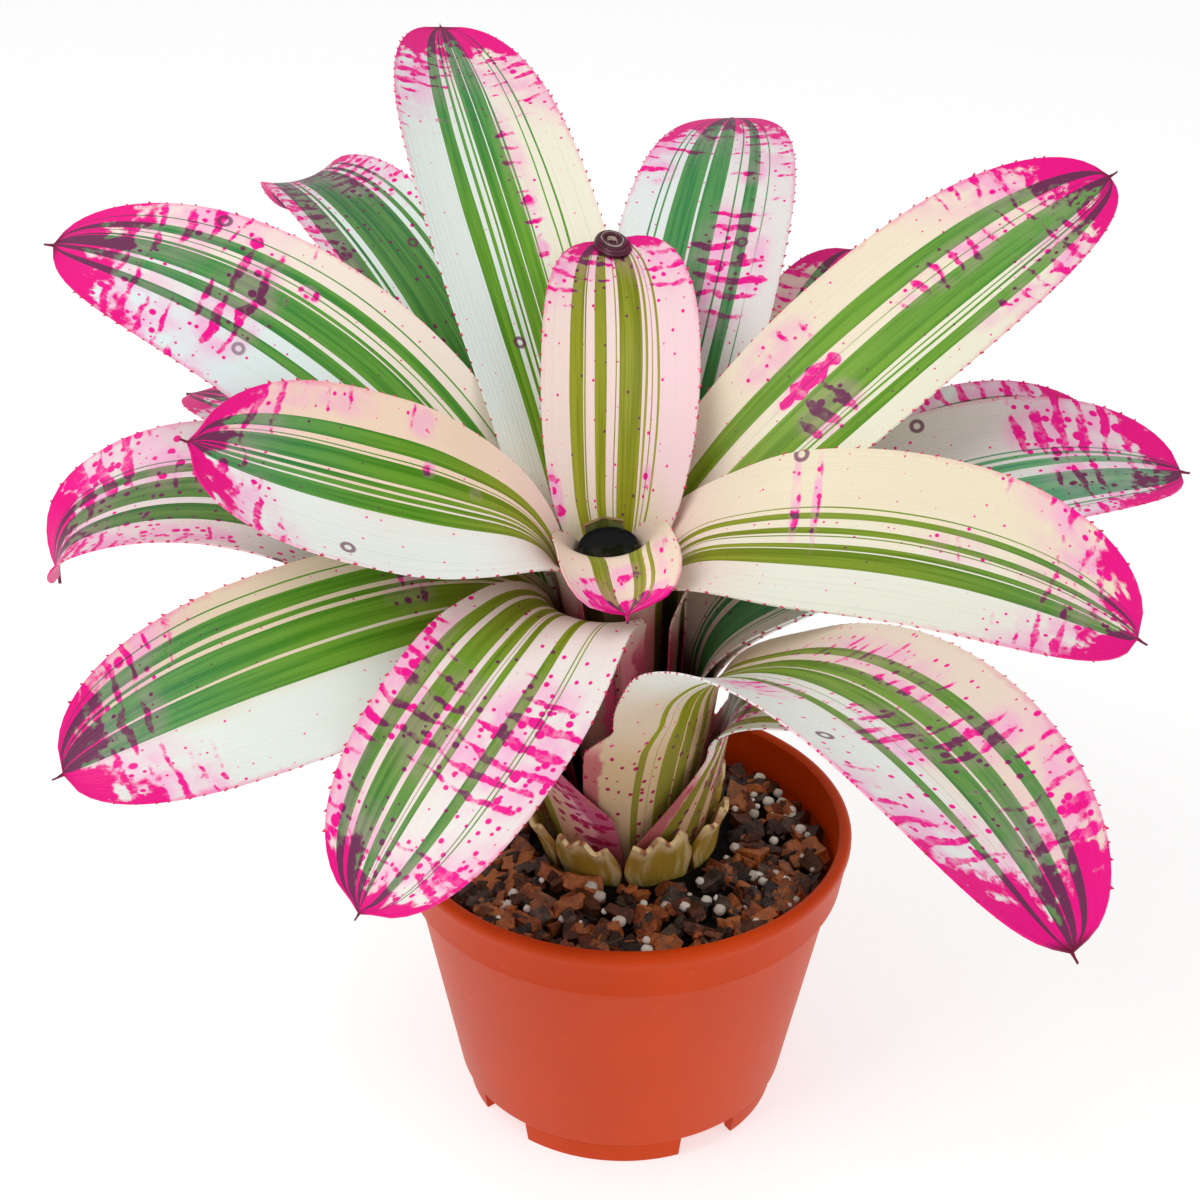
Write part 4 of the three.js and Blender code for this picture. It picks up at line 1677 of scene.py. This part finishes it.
@dataclass
class Stump:
    """Foot of an old leaf that was cut off."""

    name: str
    az: float
    height: float
    width: float
    radius: float = 26.9
    thick: float = 2.6
    thin_top: float = 0.55
    flare: float = 6
    sunk: float = 1
    columns: int = 22
    rows: int = 16

    def build(self, material: Material) -> None:
        """Bends a grid into the cupped scale with its ragged top.

        Args:
            material: Material of the stumps.
        """
        scale, v, share = add_flat_grid(self.name + "_scale", self.columns, self.rows)
        narrow = np.where(share < 0.4, 0.8 + 0.5 * share, 1 - 0.28 * (share - 0.4) / 0.6)
        radius = self.radius + self.flare * share**1.3 * (1 - 0.2 * v * v) - 0.3 * v * v
        angle = np.radians(self.az) + v * narrow * self.width / 2 / self.radius
        torn = np.array([noise.noise(Vector((3.1 * x, self.az, 0))) for x in v])
        jags = 1.7 * np.cos(7 * v + self.az) + torn - 3 * v * v
        height = self.height * share + smooth_step(share, 0.5, 1.0) * jags - self.sunk
        points = in_part(np.stack([radius * np.cos(angle), radius * np.sin(angle), height], 1))
        write_values(scale.data, "leaf_grid", np.stack([v, v * 0, share], 1))
        bend_and_thicken(scale, points, 1 - share, self.thick, self.thin_top)
        scale.data.materials.append(material)
        hand_over(scale, [self.name])


def cup_leaves() -> list[Leaf]:
    """The two short leaves that close the cup.

    Returns:
        The leaves.
    """
    # The back cup leaf's dull olive tones, darkest at its foot by the water, are partly painted shade of
    # the deep cup.
    back = LeafFinish(
        1.0,
        stripes=((-0.3, 0.4, 0.9),),
        patches=(),
        wash=0.0,
        plus_side=tint(120, 122, 70),
        minus_side=tint(120, 122, 70),
        foot=tint(84, 92, 40),
        greens=(tint(88, 92, 30),) * 3,
        sheath=tint(74, 82, 34),
        tip=tint(150, 120, 80),
        point=tint(130, 110, 66),
    )
    front = LeafFinish(
        2.0,
        stripes=((-0.44, -0.17, 1.0), (0.2, 0.41, 1.0), (0.49, 0.57, 0.8)),
        patches=(
            (-0.6, 0.80, 0.5, 0.26, 1.7), (0.7, 0.88, 0.5, 0.22, 1.8), (0.1, 0.95, 0.5, 0.2, 1.8),
            (0.1, 0.55, 0.5, 0.2, 0.7), (0.75, 0.45, 0.3, 0.3, 0.6),
        ),
        plus_side=tint(246, 226, 200),
        minus_side=tint(240, 214, 196),
        foot=tint(222, 196, 182),
        greens=(tint(150, 150, 62), OLIVE, tint(170, 150, 50)),
        # Dark olive sheath: painted shade down in the cup.
        sheath=tint(96, 100, 44),
    )
    front_sizes = LeafSizes(
        0, 279, 117, 25, 35, -30, -55, roll=-10, wrap=140, flat=0.9, neck=1.3, channel=0.42
    )
    return [
        Leaf("leaf_cup_back", LeafSizes(0, 98, 110, 4, 42, 80, 80, wrap=34, flat=0), back),
        Leaf("leaf_cup_front", front_sizes, front, columns=56, row_length=1.5),
    ]


def inner_leaves() -> list[Leaf]:
    """The leaves that open from the cup.

    Returns:
        The leaves.
    """
    upright = LeafFinish(
        3.0,
        stripes=(
            (-0.49, -0.455, 1.0), (-0.40, -0.388, 0.5), (-0.34, -0.31, 0.7), (-0.28, 0.03, 1.0),
            (0.07, 0.085, 0.6), (0.19, 0.34, 1.0), (0.45, 0.47, 0.6), (0.49, 0.66, 1.0),
        ),
        patches=(
            (0.15, 0.93, 0.55, 0.09, 1.9), (-0.5, 0.95, 0.5, 0.06, 1.6),
            (-0.4, 0.22, 0.12, 0.04, 0.9), (0.95, 0.18, 0.15, 0.08, 0.9),
        ),
        dots=0.42,
        plus_side=tint(246, 222, 214),
        minus_side=tint(248, 214, 218),
        foot=tint(228, 226, 170),
        greens=(tint(158, 152, 16), tint(146, 148, 0), tint(132, 136, 6)),
        sheath=BLUSHED,
    )
    left_upper = LeafFinish(
        4.0,
        stripes=(
            (-0.65, -0.50, 1.0), (-0.45, -0.435, 0.5), (-0.40, -0.18, 1.0),
            (-0.15, -0.10, 1.0), (-0.07, 0.0, 1.0), (0.02, 0.20, 1.0),
        ),
        patches=(
            (-0.75, 0.92, 0.35, 0.10, 0.9), (0.6, 0.97, 0.5, 0.06, 1.1), (0.1, 1.0, 0.5, 0.06, 1.3),
            (-0.85, 0.40, 0.2, 0.06, 0.6), (-0.85, 0.62, 0.2, 0.12, 0.6),
            (-0.42, 0.37, 0.10, 0.02, 1.5), (-0.30, 0.24, 0.10, 0.02, 1.5),
            (0.27, 0.80, 0.2, 0.02, 1.2),
        ),
        plus_side=tint(240, 244, 238),
        minus_side=tint(246, 218, 192),
        sheath=BLUSHED,
    )
    right_upper = LeafFinish(
        5.0,
        stripes=(
            (-0.35, -0.13, 1.0), (-0.115, -0.04, 1.0), (0.045, 0.057, 0.6),
            (0.08, 0.15, 0.8), (0.255, 0.33, 1.0), (0.385, 0.40, 0.6),
        ),
        patches=(
            (0.45, 0.285, 0.6, 0.012, 1.1), (0.45, 0.325, 0.6, 0.010, 1.0),
            (0.3, 0.93, 0.45, 0.06, 1.3), (-0.5, 0.96, 0.3, 0.05, 1.2),
            (0.1, 0.80, 0.3, 0.12, 0.5), (0.15, 0.60, 0.3, 0.10, 0.5),
        ),
        plus_side=tint(243, 230, 200),
        minus_side=tint(240, 240, 226),
        greens=(OLIVE, tint(116, 144, 14), tint(78, 142, 56)),
        sheath=BLUSHED,
    )
    front_left = LeafFinish(
        7.0,
        stripes=(
            (-0.83, -0.69, 1.0), (-0.62, -0.39, 1.0), (-0.33, -0.20, 1.0), (-0.17, -0.16, 0.6),
            (-0.13, -0.06, 1.0), (0.19, 0.31, 1.0), (0.50, 0.515, 0.7), (0.54, 0.555, 0.7),
        ),
        patches=(
            (0.5, 0.48, 0.7, 0.22, 1.0), (-0.3, 0.52, 0.6, 0.18, 0.8), (-0.9, 0.5, 0.25, 0.3, 0.85),
            (-0.2, 0.95, 0.7, 0.07, 1.1), (-0.7, 0.88, 0.35, 0.12, 0.8),
        ),
        dots=0.5,
        plus_side=tint(243, 236, 230),
        minus_side=tint(246, 226, 222),
        greens=(OLIVE, tint(100, 148, 24), tint(74, 140, 70)),
        sheath=tint(222, 108, 136),
        sheath_green=tint(130, 120, 50),
    )
    left_sizes = LeafSizes(2, 192, 112, 108, 62, 25, 25, wrap=45, sweep=-14, roll=-15)
    right_sizes = LeafSizes(2, 348, 104, 142, 56, 15, -34, sweep=-4, roll=18)
    front_sizes = LeafSizes(3, 242, 98, 114, 55, 5, -35, bend=0.8, sweep=-15, roll=-15)
    return [
        Leaf("leaf_upright", LeafSizes(1, 80, 98, 108, 46, 60, -10, bend=1.75, sweep=20), upright),
        Leaf("leaf_left_upper", left_sizes, left_upper),
        Leaf("leaf_right_upper", right_sizes, right_upper),
        Leaf("leaf_front_left", front_sizes, front_left),
    ]


def tall_leaves() -> list[Leaf]:
    """The long leaves that arch up behind the cup and to its sides.

    Returns:
        The leaves.
    """
    back_left_tall = LeafFinish(
        6.0,
        stripes=(
            (-0.62, -0.60, 0.8), (-0.52, -0.50, 0.7), (-0.275, -0.255, 0.8), (-0.235, -0.06, 1.0),
            (-0.045, 0.10, 1.0), (0.13, 0.15, 0.8), (0.20, 0.245, 1.0), (0.31, 0.48, 1.0),
        ),
        patches=(
            (-0.5, 0.90, 0.6, 0.10, 1.0), (0.6, 0.88, 0.5, 0.10, 0.8), (0.15, 0.95, 0.4, 0.10, 1.0),
            (-0.3, 0.62, 0.2, 0.18, 0.55), (-0.30, 0.54, 0.12, 0.015, 1.4),
            (-0.3, 0.45, 0.1, 0.02, 1.1),
        ),
        plus_side=tint(232, 242, 236),
        minus_side=tint(243, 238, 216),
        foot=tint(240, 222, 196),
        greens=(tint(122, 154, 26), tint(92, 158, 30), tint(60, 148, 84)),
    )
    back_right_tall = LeafFinish(
        8.0,
        stripes=(
            (-0.68, -0.50, 1.0), (-0.45, -0.42, 0.8), (-0.38, -0.36, 0.8),
            (-0.32, 0.12, 1.0), (0.20, 0.212, 0.5), (0.34, 0.57, 1.0),
        ),
        patches=(
            (0.23, 0.37, 0.13, 0.08, 2.2), (-0.2, 0.36, 0.35, 0.07, 1.25), (0.8, 0.92, 0.3, 0.12, 1.0),
            (-0.3, 0.97, 0.6, 0.05, 1.0), (-0.8, 0.93, 0.25, 0.08, 1.0), (0.2, 0.68, 0.3, 0.14, 0.8),
            (-0.7, 0.75, 0.25, 0.2, 0.6), (0.1, 0.10, 0.12, 0.04, 1.2), (0.75, 0.36, 0.3, 0.1, 0.6),
        ),
        plus_side=tint(246, 232, 206),
        minus_side=tint(243, 240, 216),
        greens=(tint(140, 158, 24), tint(104, 160, 30), tint(84, 156, 66)),
    )
    back = LeafFinish(
        10.0,
        stripes=(
            (-0.67, -0.655, 0.5), (-0.545, -0.385, 1.0), (-0.29, -0.27, 0.7), (-0.13, 0.125, 1.0),
            (0.15, 0.46, 1.0), (0.545, 0.57, 0.8), (0.635, 0.66, 0.7),
        ),
        patches=(
            (-0.35, 0.52, 0.55, 0.16, 1.0), (0.6, 0.90, 0.4, 0.08, 0.9), (-0.55, 0.85, 0.4, 0.08, 0.6),
            (0.75, 0.72, 0.3, 0.05, 0.8), (-0.45, 0.73, 0.25, 0.05, 0.8),
        ),
        plus_side=tint(234, 240, 238),
        minus_side=tint(238, 234, 230),
        greens=(GRASS, TEAL, TEAL),
    )
    left_high = LeafFinish(
        11.0,
        stripes=(
            (-0.78, -0.765, 0.7), (-0.67, -0.55, 1.0), (-0.50, -0.485, 0.7), (-0.42, -0.375, 1.0),
            (-0.36, -0.10, 1.0), (-0.05, 0.08, 1.0), (0.24, 0.36, 1.0),
        ),
        patches=(
            (0.0, 0.70, 0.9, 0.07, 1.0), (0.6, 0.95, 0.6, 0.08, 1.1), (-0.8, 0.93, 0.3, 0.08, 0.8),
            (-0.75, 0.72, 0.1, 0.02, 1.4), (-0.5, 0.62, 0.1, 0.02, 1.4),
        ),
        plus_side=tint(228, 243, 240),
        minus_side=tint(248, 234, 218),
        greens=(GRASS, tint(80, 152, 40), TEAL),
    )
    hooked = LeafFinish(
        13.0,
        stripes=(
            (-0.75, -0.70, 0.6), (-0.60, -0.52, 0.7), (-0.45, 0.27, 1.0),
            (0.36, 0.42, 0.8), (0.47, 0.80, 1.0),
        ),
        patches=((-0.5, 0.8, 0.6, 0.12, 1.1), (0.8, 0.72, 0.35, 0.25, 1.2), (0.0, 0.92, 1.2, 0.14, 1.2)),
        dots=0.6,
        greens=(GRASS, tint(70, 138, 60), tint(62, 126, 84)),
    )
    tall_left_sizes = LeafSizes(3, 106, 100, 211, 55, 40, bend=1.1, sweep=-3, roll=10)
    tall_right_sizes = LeafSizes(4, 28, 98, 173, 52, 35, 10, bend=1.5, sweep=4, roll=18)
    high_sizes = LeafSizes(6, 157, 73, 192, 58, 66, 2, sweep=11, roll=-18, channel=0.03)
    hooked_sizes = LeafSizes(7, 125, 67, 218, 42, 60, -40, bend=1.6, sweep=-6, hook=-30, wrap=54)
    return [
        Leaf("leaf_back_left_tall", tall_left_sizes, back_left_tall),
        Leaf("leaf_back_right_tall", tall_right_sizes, back_right_tall),
        Leaf("leaf_back", LeafSizes(5, 71, 86, 190, 53, 48, -20, sweep=15, channel=0.03), back),
        Leaf("leaf_left_high", high_sizes, left_high),
        Leaf("leaf_back_left_hooked", hooked_sizes, hooked),
    ]


def outer_leaves() -> list[Leaf]:
    """The leaves that hang out over the pot and show nearly whole.

    Returns:
        The leaves.
    """
    left_lower = LeafFinish(
        9.0,
        stripes=(
            (-0.86, -0.847, 0.6), (-0.78, -0.64, 1.0), (-0.59, -0.545, 1.0),
            (-0.50, -0.22, 1.0), (-0.19, 0.10, 1.0),
        ),
        patches=(
            (-0.7, 0.93, 0.4, 0.12, 1.3), (0.5, 0.93, 0.5, 0.08, 1.2), (-0.2, 0.82, 0.4, 0.07, 0.9),
            (-0.5, 0.27, 0.3, 0.06, 0.7), (-0.85, 0.80, 0.15, 0.1, 0.9), (0.85, 0.73, 0.1, 0.02, 1.2),
        ),
        plus_side=tint(232, 240, 230),
        minus_side=tint(232, 212, 184),
        foot=TAN,
    )
    right_far = LeafFinish(
        12.0,
        stripes=(
            (-0.78, -0.76, 0.7), (-0.72, -0.69, 0.7), (-0.62, -0.08, 1.0),
            (0.04, 0.15, 1.0), (0.20, 0.25, 0.8), (0.29, 0.31, 0.7),
        ),
        patches=(
            (0.5, 0.75, 0.5, 0.10, 1.2), (0.8, 0.88, 0.4, 0.10, 1.5),
            (-0.85, 0.85, 0.25, 0.12, 1.2), (-0.2, 0.78, 0.4, 0.10, 0.9),
        ),
        dots=0.5,
        plus_side=tint(234, 222, 220),
        greens=(TEAL, JADE, JADE),
    )
    front_right = LeafFinish(
        15.0,
        stripes=(
            (-0.36, -0.27, 1.0), (-0.17, -0.16, 0.5), (-0.05, 0.17, 1.0),
            (0.19, 0.36, 1.0), (0.50, 0.62, 1.0),
        ),
        patches=(
            (-0.1, 0.62, 0.35, 0.10, 0.9), (0.42, 0.68, 0.5, 0.06, 1.1), (0.4, 0.55, 0.12, 0.12, 0.8),
            (0.8, 0.85, 0.25, 0.12, 1.3), (-0.6, 0.96, 0.5, 0.07, 1.2), (-0.25, 0.85, 0.25, 0.1, 0.7),
            (-0.5, 0.42, 0.4, 0.10, 0.7), (0.6, 0.42, 0.3, 0.2, 0.6),
        ),
        dots=0.45,
        plus_side=tint(238, 218, 200),
        minus_side=tint(236, 240, 234),
        foot=TAN,
        greens=(OLIVE, tint(104, 146, 24), tint(68, 138, 72)),
        sheath=tint(212, 184, 140),
        sheath_green=tint(140, 134, 56),
    )
    left_far = LeafFinish(
        17.0,
        stripes=((-0.58, -0.565, 0.7), (-0.53, -0.42, 1.0), (-0.33, -0.04, 1.0), (0.07, 0.36, 1.0)),
        patches=(
            (-0.6, 0.88, 0.5, 0.16, 1.4), (0.6, 0.93, 0.4, 0.10, 1.0),
            (-0.5, 0.65, 0.5, 0.16, 0.75), (0.8, -0.5, 0.3, 0.6, 0.9), (0.7, 0.66, 0.3, 0.12, 0.8),
        ),
        dots=0.65,
        plus_side=tint(240, 226, 222),
        minus_side=tint(236, 226, 224),
        greens=(OLIVE, tint(84, 132, 44), tint(72, 126, 70)),
        sheath=tint(218, 174, 140),
        sheath_green=tint(142, 134, 58),
    )
    right_low = LeafFinish(
        18.0,
        stripes=(
            (-0.8, -0.6, 1.0), (-0.45, -0.25, 0.8), (-0.1, 0.15, 1.0),
            (0.3, 0.55, 0.9), (0.7, 0.85, 0.8),
        ),
        patches=((-0.4, 0.2, 0.6, 0.3, 0.9), (0.3, -0.3, 0.6, 0.3, 0.8), (0.0, 0.95, 1.2, 0.15, 1.3)),
        dots=0.6,
        greens=(OLIVE, OLIVE, OLIVE),
        sheath=tint(206, 168, 124),
        sheath_green=tint(136, 126, 50),
    )
    front_right_sizes = LeafSizes(
        9, 305, 69, 204, 62, 52, -20, bend=1.2, sweep=-13, roll=-10, wrap=50, skew=-15, neck=0.65
    )
    left_far_sizes = LeafSizes(
        10, 172, 61, 168, 54, 54, -48, bend=1.8, sweep=15, roll=-5, hook=-35,
        wrap=75, skew=20, spread=1.5, channel=0.15,
    )
    right_far_sizes = LeafSizes(7, 13, 69, 162, 52, 38, -23, bend=1.2, roll=13, wrap=50)
    right_low_sizes = LeafSizes(11, 345, 48, 45, 40, 70, -45, bend=1, wrap=68, skew=-10, spread=1.6)
    return [
        Leaf("leaf_left_lower", LeafSizes(4, 208, 92, 147, 58, 9, -14, sweep=-5, roll=-26), left_lower),
        Leaf("leaf_right_far", right_far_sizes, right_far),
        Leaf("leaf_front_right", front_right_sizes, front_right),
        Leaf("leaf_left_far", left_far_sizes, left_far),
        Leaf("leaf_right_low", right_low_sizes, right_low),
    ]


def hidden_leaves() -> list[Leaf]:
    """The leaves of which the photograph shows a tip or an edge.

    Returns:
        The leaves.
    """
    sliver = LeafFinish(
        14.0,
        stripes=((-0.5, -0.2, 1.0), (-0.1, 0.1, 1.0), (0.3, 0.55, 1.0), (0.7, 0.8, 1.0)),
        patches=((0.9, 0.7, 0.3, 0.3, 0.9), (0.0, 0.97, 0.8, 0.08, 1.2)),
        greens=(GRASS, TEAL, TEAL),
    )
    short = LeafFinish(
        16.0,
        stripes=((-0.5, -0.3, 1.0), (-0.1, 0.2, 1.0), (0.4, 0.6, 1.0)),
        patches=((-0.6, 0.85, 0.5, 0.12, 1.1), (0.5, 0.95, 0.6, 0.08, 1.2)),
        plus_side=CREAM,
        minus_side=WARM_WHITE,
    )
    low = LeafFinish(
        19.0,
        stripes=((-0.6, -0.45, 1.0), (-0.3, 0.0, 1.0), (0.1, 0.4, 1.0), (0.55, 0.62, 0.8)),
        patches=((0.5, 0.6, 0.5, 0.12, 0.9), (-0.4, 0.93, 0.7, 0.08, 1.2), (0.7, 0.9, 0.4, 0.08, 1.1)),
        minus_side=WARM_WHITE,
    )
    hidden = LeafFinish(
        20.0,
        stripes=((-0.5, -0.2, 1.0), (-0.1, 0.15, 1.0), (0.35, 0.5, 1.0)),
        patches=((0.0, 0.95, 1.2, 0.12, 1.4), (0.5, 0.7, 0.4, 0.1, 0.9)),
    )
    sliver_sizes = LeafSizes(8, 21, 68, 152, 56, 28, -22, sweep=10, roll=14, wrap=40)
    short_sizes = LeafSizes(9, 51, 48, 162, 47, 44, -6, bend=1.75, sweep=26, wrap=44)
    hidden_sizes = LeafSizes(
        11, 146, 55, 150, 42, 46, -18, bend=1.5, sweep=-4, roll=12, wrap=28, channel=0.03
    )
    return [
        Leaf("leaf_right_sliver", sliver_sizes, sliver),
        Leaf("leaf_back_right_short", short_sizes, short),
        Leaf("leaf_back_low", LeafSizes(11, 88, 46, 181, 56, 38, -40, wrap=27), low),
        Leaf("leaf_left_hidden", hidden_sizes, hidden),
    ]


@dataclass
class Rosette:
    """The plant: leaves, stumps, stem and the water in its cup."""

    leaves: list[Leaf] = field(
        default_factory=lambda: [
            leaf
            for ring in (cup_leaves, inner_leaves, tall_leaves, outer_leaves, hidden_leaves)
            for leaf in ring()
        ]
    )
    stumps: list[Stump] = field(
        default_factory=lambda: [
            Stump("stump_front_left", 244, 23, 21),
            Stump("stump_front_right", 290, 24, 21),
            Stump("stump_right", 333, 20, 19),
            Stump("stump_left", 200, 21, 19),
            Stump("stump_back_left", 150, 17, 20),
            Stump("stump_back", 95, 18, 22),
            Stump("stump_back_right", 30, 17, 20),
        ]
    )

    def build(self) -> None:
        """Models every piece of the plant."""
        BladePatterns().build()
        spine, spine_material = Spine().build(), SpineFinish().material()
        for leaf in self.leaves:
            leaf.build(spine, spine_material)
            if leaf.name == "leaf_upright":
                TipCurl(leaf).build(CurlFinish())
        skin = StumpFinish().material()
        for stump in self.stumps:
            stump.build(skin)
        CupWater().build(WaterFinish())
        self.dress_stem()

    def dress_stem(self) -> None:
        """Gives the stem's solid its wood, as no finer stem is modelled."""
        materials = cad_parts["stem"].data.materials
        materials.clear()
        materials.append(STEM_WOOD.material())
        log.info("stem: dressed")


@dataclass
class Studio:
    """White table, soft light and the camera, which stand outside the object."""

    camera_place: Vector = Vector((0, -615.0, 515.7))
    heading: float = -0.788
    down: float = 29.185
    tilt: float = 0.678
    lens: float = 72
    sensor: float = 36
    target: Vector = Vector((0, 0, 150))
    air_light: float = 0.5

    def build_table(self) -> None:
        """The pale floor, which glows a little so that it stays white."""
        clear_selection()
        bpy.ops.mesh.primitive_plane_add(size=8)
        table = bpy.context.object
        table.name = "table"
        made, sheet, shader = new_material("table_white")
        sheet.fill(shader, Base_Color=(0.6, 0.6, 0.6), Roughness=0.9)
        sheet.fill(shader, Emission_Color=(1, 1, 1), Emission_Strength=0.6)
        table.data.materials.append(made)

    def build_light(self, name: str, place: Vector, size: float, power: float) -> None:
        """One soft lamp that looks at the plant.

        Args:
            name: The lamp's name.
            place: Where it hangs.
            size: Its side.
            power: Its power in watts.
        """
        lamp = bpy.data.lights.new(name, "AREA")
        lamp.size, lamp.energy = size * MM, power
        light = bpy.data.objects.new(name, lamp)
        light.location = place * MM
        light.rotation_euler = (self.target - place).to_track_quat("-Z", "Y").to_euler()
        bpy.context.scene.collection.objects.link(light)

    def build_air(self) -> None:
        """Even light from all sides."""
        world = bpy.data.worlds.new("studio_air")
        world.use_nodes = True
        Sheet(world.node_tree).fill(world.node_tree.nodes["Background"], (1, 1, 1), self.air_light)
        bpy.context.scene.world = world

    def build_camera(self) -> None:
        """The camera of the photograph."""
        heading, down, tilt = (math.radians(angle) for angle in (self.heading, self.down, self.tilt))
        level = Vector((math.sin(heading), math.cos(heading), 0))
        forward = level * math.cos(down) - Vector((0, 0, math.sin(down)))
        right = Vector((math.cos(heading), -math.sin(heading), 0))
        up = right.cross(forward)
        level_right = math.cos(tilt) * right + math.sin(tilt) * up
        level_up = math.cos(tilt) * up - math.sin(tilt) * right
        data = bpy.data.cameras.new("camera")
        data.lens, data.sensor_width, data.clip_start = self.lens, self.sensor, 0.01
        camera = bpy.data.objects.new("camera", data)
        turned = Matrix((level_right, level_up, -forward)).transposed().to_4x4()
        camera.matrix_world = Matrix.Translation(self.camera_place * MM) @ turned
        bpy.context.scene.collection.objects.link(camera)
        bpy.context.scene.camera = camera

    def build(self) -> None:
        """Sets up the whole studio."""
        self.build_table()
        self.build_light("key_light", Vector((-700, -500, 1300)), 900, 10)
        self.build_light("fill_light", Vector((1100, -700, 800)), 1200, 3.5)
        self.build_air()
        self.build_camera()
        bpy.context.scene.view_settings.view_transform = "Standard"


def main() -> None:
    """Builds the pot, its mix and the plant, then the studio round them."""
    logging.basicConfig(level=logging.INFO, format="%(message)s")
    pot = NurseryPot()
    pot.build(PotFinish())
    PottingMix(pot).build()
    Rosette().build()
    Studio().build()
    bpy.context.view_layer.update()


if __name__ == "__main__":
    main()
